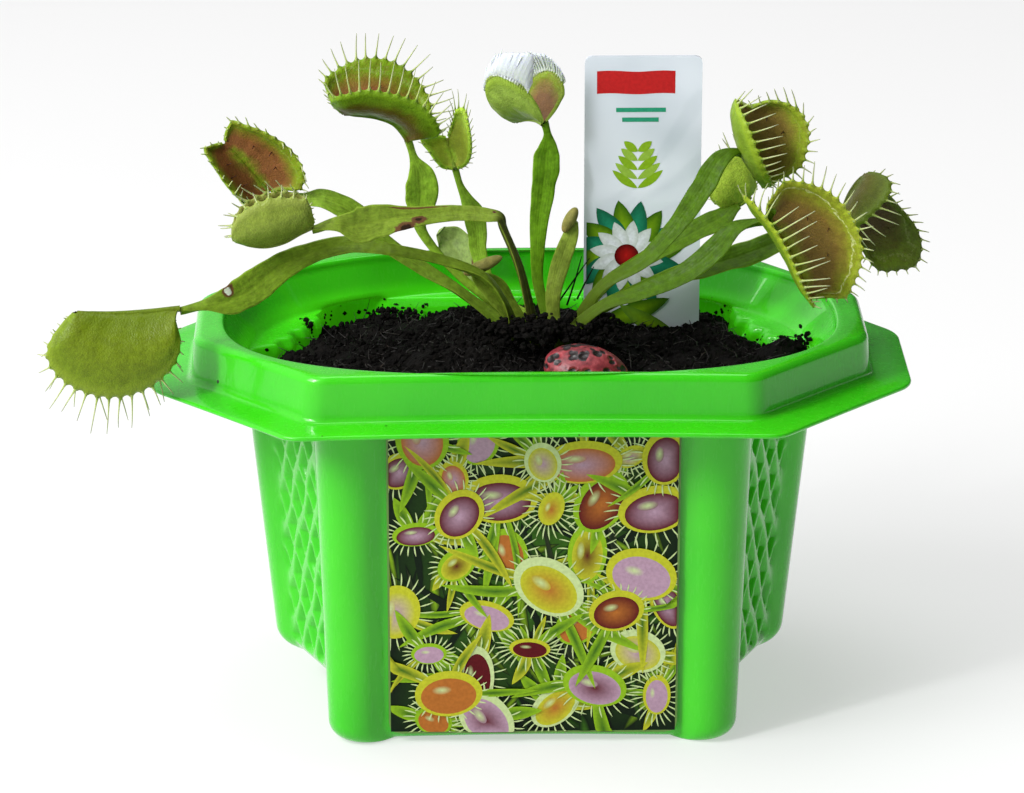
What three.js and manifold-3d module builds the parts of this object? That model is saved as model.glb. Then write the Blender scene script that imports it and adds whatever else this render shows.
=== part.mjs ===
// Potted venus flytrap: a green moulded pot with a stepped eight-sided rim, peat, a plant tag, a picture
// label, a spotted stone and thirteen leaves. Millimetres, +Z up, the floor at z = 0, the front towards -Y.
import * as THREE from "three";
import { mergeVertices } from "three/addons/utils/BufferGeometryUtils.js";
import Module from "manifold-3d";

const wasm = await Module();
wasm.setup();

// ---------------------------------------------------------------- driving dimensions

// Pot
const POT_HEIGHT = 79;
const FLANGE_UNDER = 69.2; // underside of the thin flange
const FLANGE_TOP = 70.1;
const LEDGE = 70.5; // step inside the pot, level with the flange
const LEDGE_WALL = 0.7; // wall left at the inner end of the ledge
const WALL = 1.3; // moulded sheet, measured along a ray from the axis
const RIM_SAG = 1.3; // the ends of the rim hang this much below its middle
const SAG_START = 55;
const SAG_FULL = 68;
const END_LIFT = 8.5; // underside of the two end bays above the floor
const FOOT_ROUND = 4; // rounding where the wall turns under
const FOOT_CHAMFER = 0.3; // where the first flat of that rounding ends, as a share of it
const FOOT_HALF_WIDTH = 39; // half width of the central foot
const FLOOR_SHEET = 1.5; // thickness of the moulded floor
const FOOT_SLOPE = 1.5; // lean of the side wall of the central foot

// Half sizes of the eight-sided outlines, and the length kept straight on the front and on the side
const TIER = { x: 65.5, y: 38.3, front: 42, side: 12.8 };
const FLANGE = { x: 73.9, y: 46.2, front: 46.3, side: 15 };
const CORNER_POWER = 42; // the higher, the sharper the corners of the outlines

// Rounding of the rim, from the flange over the top: how far outside the tier's outline, how high
const TIER_RINGS = [
  { outward: 1.8, z: FLANGE_TOP + 0.2 },
  { outward: 0.5, z: FLANGE_TOP + 1.6 },
  { outward: 0, z: POT_HEIGHT - 1.6 },
  { outward: -0.5, z: POT_HEIGHT - 0.5 },
];

// The oval opening, from its mouth down to the ledge: half sizes, how square the oval is, how high
const OPENING_RINGS = [
  { x: 59.7, y: 37.7, power: 2.45, z: POT_HEIGHT },
  { x: 58.9, y: 37, power: 2.45, z: POT_HEIGHT - 1 },
  { x: 55.6, y: 36, power: 2.3, z: LEDGE + 0.8 },
];

// Columns and panels at the floor and just under the flange: where the front and end columns stand and
// their radii, and how far the front panel and the net panel are from the axis
const FOOT = {
  z: 0,
  frontX: 34.3,
  frontY: 27.4,
  frontR: 5.5,
  endX: 44.3,
  endR: 5.3,
  panelY: 30.2,
  netD: 44.2,
};
const NECK = {
  z: 69,
  frontX: 35.2,
  frontY: 28.8,
  frontR: 6.9,
  endX: 51,
  endR: 5.4,
  panelY: 32.8,
  netD: 49,
};
const NET_NORMAL = { x: 0.904, y: 0.427 }; // outward direction of a net panel, before its sign

// The net relief: rays of one quarter turn, the ones that bound the net, and its depth
const RAYS = [0, 3.2, 6, 9.4, 12.8, 16.2, 19.6, 23, 26.3, 29.5, 33, 37, 41, 43.8, 46.4, 48.2, 60, 74];
const NET_FIRST = 2;
const NET_LAST = 9;
const NET_DEPTH = 0.9;
const NET_ROWS = 14;
const INNER_ROWS = 3; // rows of the net that are also moulded on the inside

// Soil
const CLEARANCE = 0.3; // air kept between neighbouring pieces
const STEM_HOLE = 0.4; // air round a stem in the soil
const SOIL = { level: 69.2, wallDrop: 3.6, mound: 5.6, moundSize: 13, centreX: 2, centreY: 0 };
const SOIL_RINGS = [0.9, 0.7, 0.45, 0.22];
const SOIL_WAVES = [
  { size: 0.45, fx: 0.21, fy: 0.34, phase: 0.4 },
  { size: 0.35, fx: -0.37, fy: 0.27, phase: 2.1 },
  { size: 0.25, fx: 0.61, fy: 0.52, phase: 4 },
];
const LUMP = { x: 50.5, y: 3, height: 5.5, size: 2.6 };
const BACK_HOLLOW = { x: -34, y: 24, depth: 2.5, size: 9 };

// Label, tag and stone
const LABEL = { halfWidth: 28.1, bottom: 2.2, top: 67.5, thick: 0.6, corner: 2.5 };
const TAG = { left: 11, right: 34.1, top: 125.5, bottom: 60, y: 17, thick: 0.8, corner: 1.5 };
const CORNER_SEGMENTS = 3;
const PEBBLE = { x: 10.5, y: -19, z: 72.4, rx: 8.6, ry: 6.2, rz: 5.2, turn: 0.25 };

// Blades
const EDGE = 0.32; // half thickness of a blade at its margin
const RIB_UNDER = 0.85; // depth of the midrib below the blade
const RIB_OVER = 0.4;
const FOLD = 0.22; // how far the margins are lifted, per millimetre of half width beyond the stalk's
const STALK = 1; // half width up to which a blade isn't folded
const RINGS_PER_STOP = 1.1;
const STEM_BOTTOM = 64; // stems reach down to here inside the soil
const STEM_TOP = 73; // and are upright up to here

// Traps
const LOBE_THICK = 0.8;
const LOBE_ALONG = 6; // facets along the hinge and away from it
const LOBE_ACROSS = 3;
const LOBE_SPREAD = 0.16; // how much longer the margin is than the hinge
const LOBE_ENDS = 0.07; // share of a half wave cut off at each end of the margin, so a lobe has blunt ends
const LOBE_ROUNDNESS = 0.62; // the lower, the squarer a lobe
const LOBE_CUP = 0.92; // share of a half wave that the bulge takes from the hinge to the margin
const HINGE_RADIUS = 0.9;
const HINGE_TAPER = 0.7;
const CILIA = 7; // on each lobe
const CILIUM_ROOT = 0.45;
const CILIUM_SUNK = 1;
const CILIA_FAN = 0.9; // how much the outer ones lean away from the middle
const CILIA_SHORTER = 0.25; // how much shorter the outer ones are, as a share
const CILIA_ODD = 0.88; // length of every other one, as a share

// The leaves. `stem` is where one stands in the soil, and its half width. A stop of a blade is the
// point on its spine, its half width, and the direction that its upper face looks in. A trap has the
// ends of its hinge, the direction it opens in, half the angle between its lobes in degrees, their depth
// and bulge, the length of its cilia and how far they lean in over the mouth.
const LEAVES = [
  {
    // The lowest leaf on the left, its shut trap hanging outside the pot.
    name: "leaf_low_left",
    color: "#6f8f2c",
    stem: [-2.5, -4.5, 1],
    blade: [
      [-5, -6, 85.5, 1.2, 1, -0.3, 0.6],
      [-9, -7, 91, 1.3, 0.5, -0.2, 1],
      [-18.5, -9, 96, 1.4, 0, -0.3, 1],
      [-25, -9, 96.5, 1.6, 0, -0.5, 1],
      [-33, -10, 96, 2, 0, -0.7, 0.8],
      [-43, -13, 95, 3, 0, -1, 0.5],
      [-50.5, -16, 92.5, 3.8, 0, -1, 0.35],
      [-57, -19, 89, 4, 0, -1, 0.3],
      [-62, -20, 87.5, 1.2, 0, -0.7, 0.7],
      [-67.5, -21, 86.5, 1, 0, 0, 1],
    ],
    trap: {
      from: [-67.5, -21, 86.5],
      to: [-89, -23, 85.5],
      mouth: [0.02, -0.06, -1],
      half: 13,
      depth: 16,
      bulge: 3.2,
      cilia: 8,
      lean: 0.25,
    },
  },
  {
    // Bent sharply near the top of its stalk, with a small shut trap.
    name: "leaf_kinked_left",
    color: "#7a9636",
    stem: [1, -7, 1],
    blade: [
      [-2, -9, 90, 1.2, 0.7, -0.7, 0.3],
      [-5.5, -9, 98.5, 1.3, 0.7, -0.6, 0.5],
      [-8, -9, 100.5, 1.6, 0, -0.4, 1],
      [-14.5, -10, 102, 2, 0, -0.7, 0.8],
      [-25, -13, 102, 2.6, 0, -0.9, 0.6],
      [-31.5, -15, 101.5, 3, 0, -1, 0.5],
      [-37, -16, 102, 1.1, 0, -0.7, 0.7],
      [-42, -16, 101, 0.9, 0, 0, 1],
    ],
    trap: {
      from: [-42, -16, 101],
      to: [-55.5, -17, 98.5],
      mouth: [-0.1, 0, 1],
      half: 9,
      depth: 10,
      bulge: 2.4,
      cilia: 4.5,
      lean: 0.2,
    },
  },
  {
    // Its wide open trap faces the front.
    name: "leaf_open_left",
    color: "#7da23a",
    stem: [-4, 1.5, 1],
    blade: [
      [-12, 4, 80, 1.5, 0.3, -0.3, 1],
      [-20.5, 6, 85, 1.7, 0, -0.5, 1],
      [-28.5, 8, 90, 2, 0, -0.5, 1],
      [-34.5, 10, 95.5, 2.4, 0, -0.6, 1],
      [-40, 11, 98, 2.4, 0, -0.7, 1],
      [-45, 12, 98, 1.4, 0, -0.6, 1],
      [-50, 13, 99, 0.9, 0, -0.3, 1],
    ],
    trap: {
      from: [-50, 13, 99],
      to: [-59.5, 12, 110.5],
      mouth: [-0.15, -0.94, 0.34],
      half: 50,
      depth: 12,
      bulge: 1.2,
      cilia: 3.5,
      lean: 0.3,
    },
  },
  {
    // Upright, with a half open trap lying on its back.
    name: "leaf_tall_left",
    color: "#6b9a2e",
    stem: [-2, 5, 1],
    blade: [
      [-13, 8, 82.5, 1, 0.4, -0.6, 0.6],
      [-19, 10, 88.5, 1, 0.4, -0.6, 0.6],
      [-21.5, 11, 92.5, 1.3, 0.5, -1, 0.3],
      [-22, 12, 98.5, 2.9, 0.2, -1, 0.2],
      [-22, 12, 104, 2.8, 0.2, -1, 0.2],
      [-23, 12, 107.5, 1, 0.3, -1, 0.2],
      [-24.5, 12, 110.5, 0.9, 0.5, -0.5, 0.5],
    ],
    trap: {
      from: [-23.5, 12, 110.5],
      to: [-38, 9, 118],
      mouth: [0.2, -0.1, 1],
      half: 40,
      depth: 14.5,
      bulge: 1.6,
      cilia: 8,
      lean: 0.15,
    },
  },
  {
    // Behind the tall one, with a narrow trap standing on end.
    name: "leaf_back_left",
    color: "#74a636",
    stem: [1.5, 8, 1],
    blade: [
      [-6.5, 12, 77.5, 1.2, 0.4, -0.8, 0.3],
      [-9, 16, 83.5, 2, 0.2, -1, 0.3],
      [-10.5, 19, 88, 2.6, 0.2, -1, 0.2],
      [-12.5, 22, 94.5, 2.4, 0.2, -1, 0.2],
      [-14, 23, 98, 0.9, 0.2, -1, 0.2],
      [-14.5, 23, 100.5, 0.8, 0.1, -1, 0.1],
    ],
    trap: {
      from: [-14.5, 23, 100.5],
      to: [-15, 24, 113],
      mouth: [-0.45, -0.85, 0.3],
      half: 36,
      depth: 8.5,
      bulge: 1.4,
      cilia: 4.5,
      lean: 0.25,
    },
  },
  {
    // An old pale leaf that has lost its trap.
    name: "leaf_pale_old",
    color: "#9db87a",
    stem: [-5.5, 6.5, 1],
    blade: [
      [-9.5, 18, 78, 1.6, 0, -1, 0.3],
      [-13, 25, 81, 3.2, 0, -1, 0.3],
      [-15.5, 28, 84, 3.4, 0, -1, 0.3],
      [-17.5, 28, 86, 1.2, 0, -1, 0.3],
    ],
  },
  {
    // A short young leaf, its trap still a bud.
    name: "leaf_young_left",
    color: "#83a23c",
    stem: [-0.5, -1, 1.1],
    blade: [
      [-4.5, -2, 80, 2.2, 0.2, -0.8, 0.6],
      [-7, -2, 83.5, 2.6, 0.2, -0.8, 0.6],
      [-10, -2, 86, 1.6, 0.2, -0.8, 0.6],
      [-11, -2, 87.5, 0.9, 0.2, -0.5, 0.8],
    ],
    bud: { from: [-13, -2.5, 87], to: [-5.5, -2.5, 90.5], radius: 1.5 },
  },
  {
    // Upright in the middle, with a trap opening upwards.
    name: "leaf_centre_tall",
    color: "#6fa52e",
    stem: [4, 4, 1.1],
    blade: [
      [2, 7, 80.5, 1.2, 0, -1, 0.2],
      [1.5, 9, 88, 1.8, 0, -1, 0.2],
      [1.5, 10, 95, 2.5, 0, -1, 0.1],
      [2.5, 11, 103, 2.7, 0.1, -1, 0.1],
      [3.5, 11, 109, 2.2, 0.1, -1, 0.1],
      [3.5, 11, 112, 0.9, 0, -1, 0.1],
      [2.5, 10, 114, 0.8, 0, -0.6, 0.4],
    ],
    trap: {
      from: [3, 9, 114.5],
      to: [-3.5, 14, 115.5],
      mouth: [-0.2, -0.25, 1],
      half: 38,
      depth: 13.5,
      bulge: 2.2,
      cilia: 5,
      lean: 0.3,
    },
  },
  {
    // A small strap with a bud.
    name: "leaf_centre_small",
    color: "#84a34a",
    stem: [5, 0, 1.1],
    blade: [
      [4.5, 0, 81.5, 1.5, -0.2, -1, 0.2],
      [6, 1, 88, 1.8, -0.2, -1, 0.2],
      [8, 1, 94, 1.5, -0.2, -1, 0.2],
      [8.5, 1, 96.5, 0.9, -0.2, -0.8, 0.3],
    ],
    bud: { from: [6.5, 0.5, 94.5], to: [9, 0.5, 99.5], radius: 1.5 },
  },
  {
    // The highest on the right, its trap seen half from the side.
    name: "leaf_right_upper",
    color: "#7fae37",
    stem: [8, -4, 1.1],
    blade: [
      [13.5, -7, 85.5, 1.6, -0.4, -0.6, 0.8],
      [22, -8, 91.5, 2.2, -0.4, -0.7, 0.8],
      [28.5, -8, 99, 2.8, -0.4, -0.8, 0.5],
      [33, -8, 106, 3.2, -0.4, -0.8, 0.5],
      [36.5, -7, 111.5, 2.4, -0.3, -0.8, 0.6],
      [39.5, -5, 112.5, 1, 0, -0.5, 1],
      [42, -3, 111, 0.9, 0.6, 0, 0.8],
      [44.5, -1, 106, 0.9, 1, 0, 0.3],
    ],
    trap: {
      from: [45.5, -1, 103.5],
      to: [41.5, -1, 120.5],
      mouth: [0.42, -0.85, 0.31],
      half: 40,
      depth: 13,
      bulge: 2,
      cilia: 7,
      lean: 0.3,
    },
  },
  {
    // Half hidden behind the others, with a low open trap.
    name: "leaf_right_pale",
    color: "#86b23c",
    stem: [8.5, 1, 1.1],
    blade: [
      [14, 3, 82, 1.6, -0.3, -0.5, 1],
      [23, 5, 87.5, 2, -0.3, -0.6, 0.9],
      [31.5, 6, 92, 2.8, -0.3, -0.7, 0.8],
      [37.5, 7, 95, 2.4, -0.3, -0.7, 0.8],
      [41, 8, 97.5, 1, -0.3, -0.5, 0.8],
    ],
    trap: {
      from: [39, 9, 97],
      to: [52.5, 11, 99.5],
      mouth: [-0.1, -0.2, 1],
      half: 24,
      depth: 11,
      bulge: 2,
      cilia: 5,
      lean: 0.3,
    },
  },
  {
    // The largest trap, leaning out to the right.
    name: "leaf_right_big",
    color: "#6fae2e",
    stem: [5.5, -7.5, 1.1],
    blade: [
      [13.5, -11, 83, 1.7, -0.3, -0.6, 1],
      [22, -12, 86.5, 2.2, -0.3, -0.7, 0.9],
      [29.5, -12, 90, 3, -0.3, -0.8, 0.8],
      [35.5, -12, 95, 3.2, -0.3, -0.8, 0.7],
      [39, -12, 99, 1.8, -0.3, -0.6, 0.8],
      [42.5, -12, 100.5, 1, -0.1, -0.3, 1],
      [45, -13, 101.5, 0.9, 0.2, 0, 1],
      [46, -14, 103.5, 0.9, 0.2, 0, 1],
    ],
    trap: {
      from: [46, -14, 104],
      to: [54, -14, 85.5],
      mouth: [0.55, -0.78, 0.3],
      half: 37,
      depth: 15,
      bulge: 2.2,
      cilia: 7.5,
      lean: 0.3,
    },
  },
  {
    // The farthest right, its trap turned to the side.
    name: "leaf_right_far",
    color: "#6c962e",
    stem: [9.5, 6, 1.1],
    blade: [
      [22, 10, 79.5, 1.7, -0.3, -0.6, 1],
      [34, 12, 83, 2.4, -0.2, -0.7, 0.8],
      [44, 14, 85.5, 2.8, -0.2, -0.7, 0.8],
      [52, 15, 88.5, 2.2, -0.2, -0.6, 0.8],
      [58, 15, 90, 1, 0, -0.4, 1],
      [61, 14, 93.5, 0.9, 0, -0.2, 1],
    ],
    trap: {
      from: [61, 14, 93.5],
      to: [67, 16, 101],
      mouth: [0.62, -0.6, -0.42],
      half: 34,
      depth: 15,
      bulge: 2,
      cilia: 6,
      lean: 0.3,
    },
  },
];

// ---------------------------------------------------------------- small helpers

const TAU = 2 * Math.PI;
const mix = (a, b, t) => a + (b - a) * t;
const clamp01 = (t) => Math.min(1, Math.max(0, t));
const smooth = (t) => clamp01(t) ** 2 * (3 - 2 * clamp01(t));
const bell = (x, y, size) => Math.exp(-(x * x + y * y) / (2 * size * size));

// A closed solid from points and triangles.
function solid(points, triangles) {
  const mesh = new wasm.Mesh({
    numProp: 3,
    vertProperties: new Float32Array(points.flatMap((p) => [p.x, p.y, p.z])),
    triVerts: new Uint32Array(triangles.flat()),
  });
  return new wasm.Manifold(mesh);
}

// Closes stacked rings of points into a solid; both ends are closed by a fan round the given poles.
// `crease(ring, spoke)` says which diagonal splits a quad.
function stack(rings, poleBelow, poleAbove, crease = () => false) {
  const count = rings[0].length;
  const points = rings.flat();
  const triangles = [];
  for (let j = 0; j + 1 < rings.length; j++) {
    for (let i = 0; i < count; i++) {
      const a = j * count + i;
      const b = j * count + ((i + 1) % count);
      const c = b + count;
      const d = a + count;
      if (crease(j, i)) triangles.push([a, b, d], [b, c, d]);
      else triangles.push([a, b, c], [a, c, d]);
    }
  }
  const last = (rings.length - 1) * count;
  points.push(poleBelow, poleAbove);
  for (let i = 0; i < count; i++) {
    const next = (i + 1) % count;
    triangles.push([next, i, points.length - 2]);
    triangles.push([last + i, last + next, points.length - 1]);
  }
  return solid(points, triangles);
}

// A three.js geometry as a solid.
function solidOf(geometry) {
  const bare = geometry.clone();
  bare.deleteAttribute("normal");
  bare.deleteAttribute("uv");
  const merged = mergeVertices(bare, 1e-4);
  return new wasm.Manifold(
    new wasm.Mesh({
      numProp: 3,
      vertProperties: new Float32Array(merged.attributes.position.array),
      triVerts: new Uint32Array(merged.index.array),
    }),
  );
}

const root = new THREE.Group();
root.name = "potted_flytrap";

// Adds a solid to the group as one named mesh.
function add(name, body, color, roughness) {
  const made = body.getMesh();
  const geometry = new THREE.BufferGeometry();
  geometry.setAttribute("position", new THREE.BufferAttribute(made.vertProperties, 3));
  geometry.setIndex(new THREE.BufferAttribute(made.triVerts, 1));
  geometry.computeVertexNormals();
  const material = new THREE.MeshStandardMaterial({ color, roughness, metalness: 0 });
  const mesh = new THREE.Mesh(geometry, material);
  mesh.name = name;
  root.add(mesh);
}

// ---------------------------------------------------------------- outlines of the pot

// All spokes of the pot: the rays of one quarter, mirrored into the other three.
const spokes = [];
for (let quarter = 0; quarter < 4; quarter++) {
  const odd = quarter % 2 === 1;
  const list = odd ? [90, ...RAYS.slice(1).reverse()] : RAYS;
  for (const ray of list) {
    const degrees = quarter * 90 + (odd ? 90 - ray : ray);
    const angle = (degrees * Math.PI) / 180;
    const index = ray === 90 ? RAYS.length : RAYS.indexOf(ray);
    spokes.push({ x: Math.cos(angle), y: Math.sin(angle), index });
  }
}

// Distance from the axis to an eight-sided outline with softened corners.
function octagon(spoke, o) {
  const dx = o.x - o.front;
  const dy = o.y - o.side;
  const length = Math.hypot(dx, dy);
  const distance = (o.front * dy + o.y * dx) / length;
  const x = Math.abs(spoke.x);
  const y = Math.abs(spoke.y);
  const sides = [x / o.x, y / o.y, (x * dy + y * dx) / length / distance];
  const sum = sides.reduce((total, side) => total + side ** CORNER_POWER, 0);
  return sum ** (-1 / CORNER_POWER);
}

// Distance from the axis to an oval of the opening.
function opening(spoke, oval) {
  const sum = Math.abs(spoke.x / oval.x) ** oval.power + Math.abs(spoke.y / oval.y) ** oval.power;
  return sum ** (-1 / oval.power);
}

// Distance from the axis to the far side of a round column, or 0 when the spoke misses it.
function column(spoke, x, y, r) {
  const along = Math.abs(spoke.x) * x + Math.abs(spoke.y) * y;
  const inside = r * r - (x * x + y * y) + along * along;
  return inside > 0 ? along + Math.sqrt(inside) : 0;
}

// Distance from the axis to the body: recessed panels joined to six columns, narrowing downwards.
function body(spoke, z) {
  const t = (z - FOOT.z) / (NECK.z - FOOT.z);
  const at = (key) => mix(FOOT[key], NECK[key], t);
  const x = Math.abs(spoke.x);
  const y = Math.abs(spoke.y);
  const net = at("netD") / (x * NET_NORMAL.x + y * NET_NORMAL.y);
  const panel = y > 0 ? at("panelY") / y : Infinity;
  const front = column(spoke, at("frontX"), at("frontY"), at("frontR"));
  const end = column(spoke, at("endX"), 0, at("endR"));
  return Math.max(Math.min(net, panel), front, end);
}

const isEnd = (spoke) => spoke.index <= NET_LAST; // the end bays carry the end column and the net panels
const underside = (spoke) => (isEnd(spoke) ? END_LIFT : 0);

// A point on a spoke; the ends of the rim hang a little.
function place(spoke, radius, z) {
  const x = spoke.x * radius;
  const sag = RIM_SAG * (x / TIER.x) ** 2 * smooth((z - SAG_START) / (SAG_FULL - SAG_START));
  return new THREE.Vector3(x, spoke.y * radius, z - sag);
}
const ring = (radius, height) => spokes.map((s) => place(s, radius(s), height(s)));

// Net relief on a row: every other crossing of the grid is pressed in.
function pressed(spoke, row) {
  const inNet = spoke.index > NET_FIRST && spoke.index < NET_LAST;
  return inNet && (spoke.index + row) % 2 === 1 ? NET_DEPTH : 0;
}
const rowHeight = (spoke, row) => mix(underside(spoke) + FOOT_ROUND, FLANGE_UNDER, row / NET_ROWS);

// ---------------------------------------------------------------- pot

// Rings of the foot from its middle outwards, at a distance `inset` inside the outer skin: the floor of
// the central foot, the top of its side wall, and the underside up to where the wall turns up.
function footRings(inset, lift) {
  const bottom = (s) => underside(s) + lift;
  const turn = (s) => body(s, underside(s) + FOOT_ROUND) - inset - FOOT_ROUND;
  const wall = (s) => (FOOT_HALF_WIDTH - inset) / Math.abs(s.x);
  return [
    ring((s) => Math.min(turn(s) - 1.5 * FOOT_SLOPE, wall(s) - FOOT_SLOPE), () => lift),
    ring((s) => Math.min(turn(s) - 0.5 * FOOT_SLOPE, wall(s)), bottom),
    ring(turn, bottom),
  ];
}

// Rings of the moulded floor and the lower inner wall.
function cavityFloor(inset) {
  const lift = FLOOR_SHEET + inset - WALL;
  const turnTop = (s) => underside(s) + FOOT_ROUND;
  return [...footRings(inset, lift), ring((s) => body(s, turnTop(s)) - inset, (s) => turnTop(s) + lift)];
}

// Rings of the rim, from the underside of the flange over the top and down to the ledge.
function rimRings() {
  const level = (z) => () => z;
  const wall = (s) => body(s, FLANGE_UNDER);
  const flange = (s) => octagon(s, FLANGE);
  return [
    ring(wall, level(FLANGE_UNDER)),
    ring(flange, level(FLANGE_UNDER)),
    ring(flange, level(FLANGE_TOP)),
    ...TIER_RINGS.map(({ outward, z }) => ring((s) => octagon(s, TIER) + outward, level(z))),
    ...OPENING_RINGS.map((oval) => ring((s) => opening(s, oval), level(oval.z))),
    ring((s) => wall(s) - LEDGE_WALL, level(LEDGE)),
  ];
}

function potSolid() {
  const chamfer = FOOT_CHAMFER * FOOT_ROUND;
  const chamferSkin = (s) => body(s, underside(s) + FOOT_ROUND) - chamfer;
  const rings = [...footRings(0, 0), ring(chamferSkin, (s) => underside(s) + chamfer)];
  const firstNet = rings.length;
  for (let row = 0; row < NET_ROWS; row++) {
    rings.push(ring((s) => body(s, rowHeight(s, row)) - pressed(s, row), (s) => rowHeight(s, row)));
  }
  rings.push(...rimRings());
  const firstInner = rings.length;
  for (let step = 1; step <= INNER_ROWS; step++) {
    const row = NET_ROWS - step;
    rings.push(ring((s) => body(s, rowHeight(s, row)) - WALL - pressed(s, row), (s) => rowHeight(s, row)));
  }
  rings.push(...cavityFloor(WALL).reverse());
  // The diagonals of the net join the points that aren't pressed in, so its threads stand as sharp ridges.
  const onNet = (row, i) => {
    const s = spokes[i];
    const next = spokes[(i + 1) % spokes.length];
    return (row + Math.min(s.index, next.index) + (s.index < next.index ? 0 : 1)) % 2 === 1;
  };
  const crease = (j, i) => {
    if (j >= firstNet && j < firstNet + NET_ROWS) return onNet(j - firstNet, i);
    if (j >= firstInner && j < firstInner + INNER_ROWS - 1) return onNet(NET_ROWS - 1 - (j - firstInner), i);
    return false;
  };
  return stack(rings, new THREE.Vector3(0, 0, 0), new THREE.Vector3(0, 0, FLOOR_SHEET), crease);
}

// ---------------------------------------------------------------- soil

function soilHeight(x, y) {
  let z = SOIL.level + SOIL.mound * bell(x - SOIL.centreX, y - SOIL.centreY, SOIL.moundSize);
  for (const wave of SOIL_WAVES) z += wave.size * Math.sin(wave.fx * x + wave.fy * y + wave.phase);
  z += LUMP.height * bell(x - LUMP.x, y - LUMP.y, LUMP.size);
  z -= BACK_HOLLOW.depth * bell(x - BACK_HOLLOW.x, y - BACK_HOLLOW.y, BACK_HOLLOW.size);
  return z;
}

function soilSolid() {
  const inset = WALL + CLEARANCE;
  const wallTop = SOIL.level - SOIL.wallDrop;
  const relief = (s) => (s.index > NET_FIRST && s.index < NET_LAST ? NET_DEPTH : 0);
  const upper = (s) => body(s, wallTop) - inset - relief(s);
  const rings = cavityFloor(inset);
  const netFoot = (s) => rowHeight(s, NET_ROWS - INNER_ROWS);
  rings.push(ring((s) => body(s, netFoot(s)) - inset - relief(s), netFoot));
  rings.push(ring(upper, () => wallTop));
  for (const scale of SOIL_RINGS) {
    rings.push(
      spokes.map((s) => {
        const r = upper(s) * scale;
        return new THREE.Vector3(s.x * r, s.y * r, soilHeight(s.x * r, s.y * r));
      }),
    );
  }
  const floor = new THREE.Vector3(0, 0, FLOOR_SHEET + CLEARANCE);
  return stack(rings, floor, new THREE.Vector3(0, 0, soilHeight(0, 0)), () => true);
}

// ---------------------------------------------------------------- label, tag and stone

// A flat plate with rounded corners, standing up in the XZ plane, its front face at y = 0.
function plate(left, right, bottom, top, corner, thick) {
  const shape = new THREE.Shape();
  shape.moveTo(left + corner, bottom);
  shape.lineTo(right - corner, bottom);
  shape.quadraticCurveTo(right, bottom, right, bottom + corner);
  shape.lineTo(right, top - corner);
  shape.quadraticCurveTo(right, top, right - corner, top);
  shape.lineTo(left + corner, top);
  shape.quadraticCurveTo(left, top, left, top - corner);
  shape.lineTo(left, bottom + corner);
  shape.quadraticCurveTo(left, bottom, left + corner, bottom);
  const options = { depth: thick, bevelEnabled: false, curveSegments: CORNER_SEGMENTS };
  const geometry = new THREE.ExtrudeGeometry(shape, options);
  geometry.rotateX(Math.PI / 2);
  return geometry;
}

function labelSolid() {
  const lean = Math.atan2(NECK.panelY - FOOT.panelY, NECK.z - FOOT.z);
  const { halfWidth, bottom, top, corner, thick } = LABEL;
  const geometry = plate(-halfWidth, halfWidth, bottom, top, corner, thick);
  geometry.rotateX(lean);
  geometry.translate(0, -FOOT.panelY - CLEARANCE, 0);
  return solidOf(geometry);
}

function tagSolid() {
  const geometry = plate(TAG.left, TAG.right, TAG.bottom, TAG.top, TAG.corner, TAG.thick);
  geometry.translate(0, TAG.y, 0);
  return solidOf(geometry);
}

function pebbleSolid(grow) {
  const geometry = new THREE.IcosahedronGeometry(1, 2);
  geometry.scale(PEBBLE.rx + grow, PEBBLE.ry + grow, PEBBLE.rz + grow);
  geometry.rotateY(PEBBLE.turn);
  geometry.translate(PEBBLE.x, PEBBLE.y, PEBBLE.z);
  return solidOf(geometry);
}

// The slot that the tag stands in, open at the top.
function tagSlot() {
  const height = TAG.top - TAG.bottom;
  const slot = new THREE.BoxGeometry(TAG.right - TAG.left + 2 * CLEARANCE, TAG.thick + 2 * CLEARANCE, height);
  slot.translate((TAG.left + TAG.right) / 2, TAG.y - TAG.thick / 2, TAG.bottom + height / 2 - CLEARANCE);
  return solidOf(slot);
}

// ---------------------------------------------------------------- leaves

const vector = (p) => new THREE.Vector3(p[0], p[1], p[2]);

// Sweeps a blade along its spine; `grow` makes it larger all round, for the hole a stem stands in.
function bladeSolid(leaf, grow = 0) {
  const [x, y, width] = leaf.stem;
  const stem = [STEM_BOTTOM, STEM_TOP].map((z) => [x, y, z, width, 0, -1, 0]);
  const stops = [...stem, ...leaf.blade];
  const path = new THREE.CatmullRomCurve3(stops.map(vector));
  const faces = new THREE.CatmullRomCurve3(stops.map((s) => vector(s.slice(4)).normalize()));
  const widths = new THREE.CatmullRomCurve3(stops.map((s) => vector([s[3], 0, 0])));
  const steps = Math.round(RINGS_PER_STOP * (stops.length - 1));
  const rings = [];
  for (let i = 0; i <= steps; i++) {
    const t = i / steps;
    const centre = path.getPoint(t);
    if (i === 0) centre.z -= grow;
    const tangent = i === 0 ? vector([0, 0, 1]) : path.getTangent(t);
    const side = new THREE.Vector3().crossVectors(faces.getPoint(t), tangent).normalize();
    const over = new THREE.Vector3().crossVectors(tangent, side).normalize();
    const half = Math.max(widths.getPoint(t).x, 2 * EDGE);
    const raise = FOLD * Math.max(0, half - STALK);
    const edge = EDGE + grow;
    const corner = (across, up) => centre.clone().addScaledVector(side, across).addScaledVector(over, up);
    rings.push([
      corner(half + grow, raise - edge),
      corner(half + grow, raise + edge),
      corner(0, RIB_OVER + grow),
      corner(-half - grow, raise + edge),
      corner(-half - grow, raise - edge),
      corner(0, -RIB_UNDER - grow),
    ]);
  }
  const middle = (r) => r[2].clone().lerp(r[5], 0.5);
  return stack(rings, middle(rings[0]), middle(rings.at(-1)));
}

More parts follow.
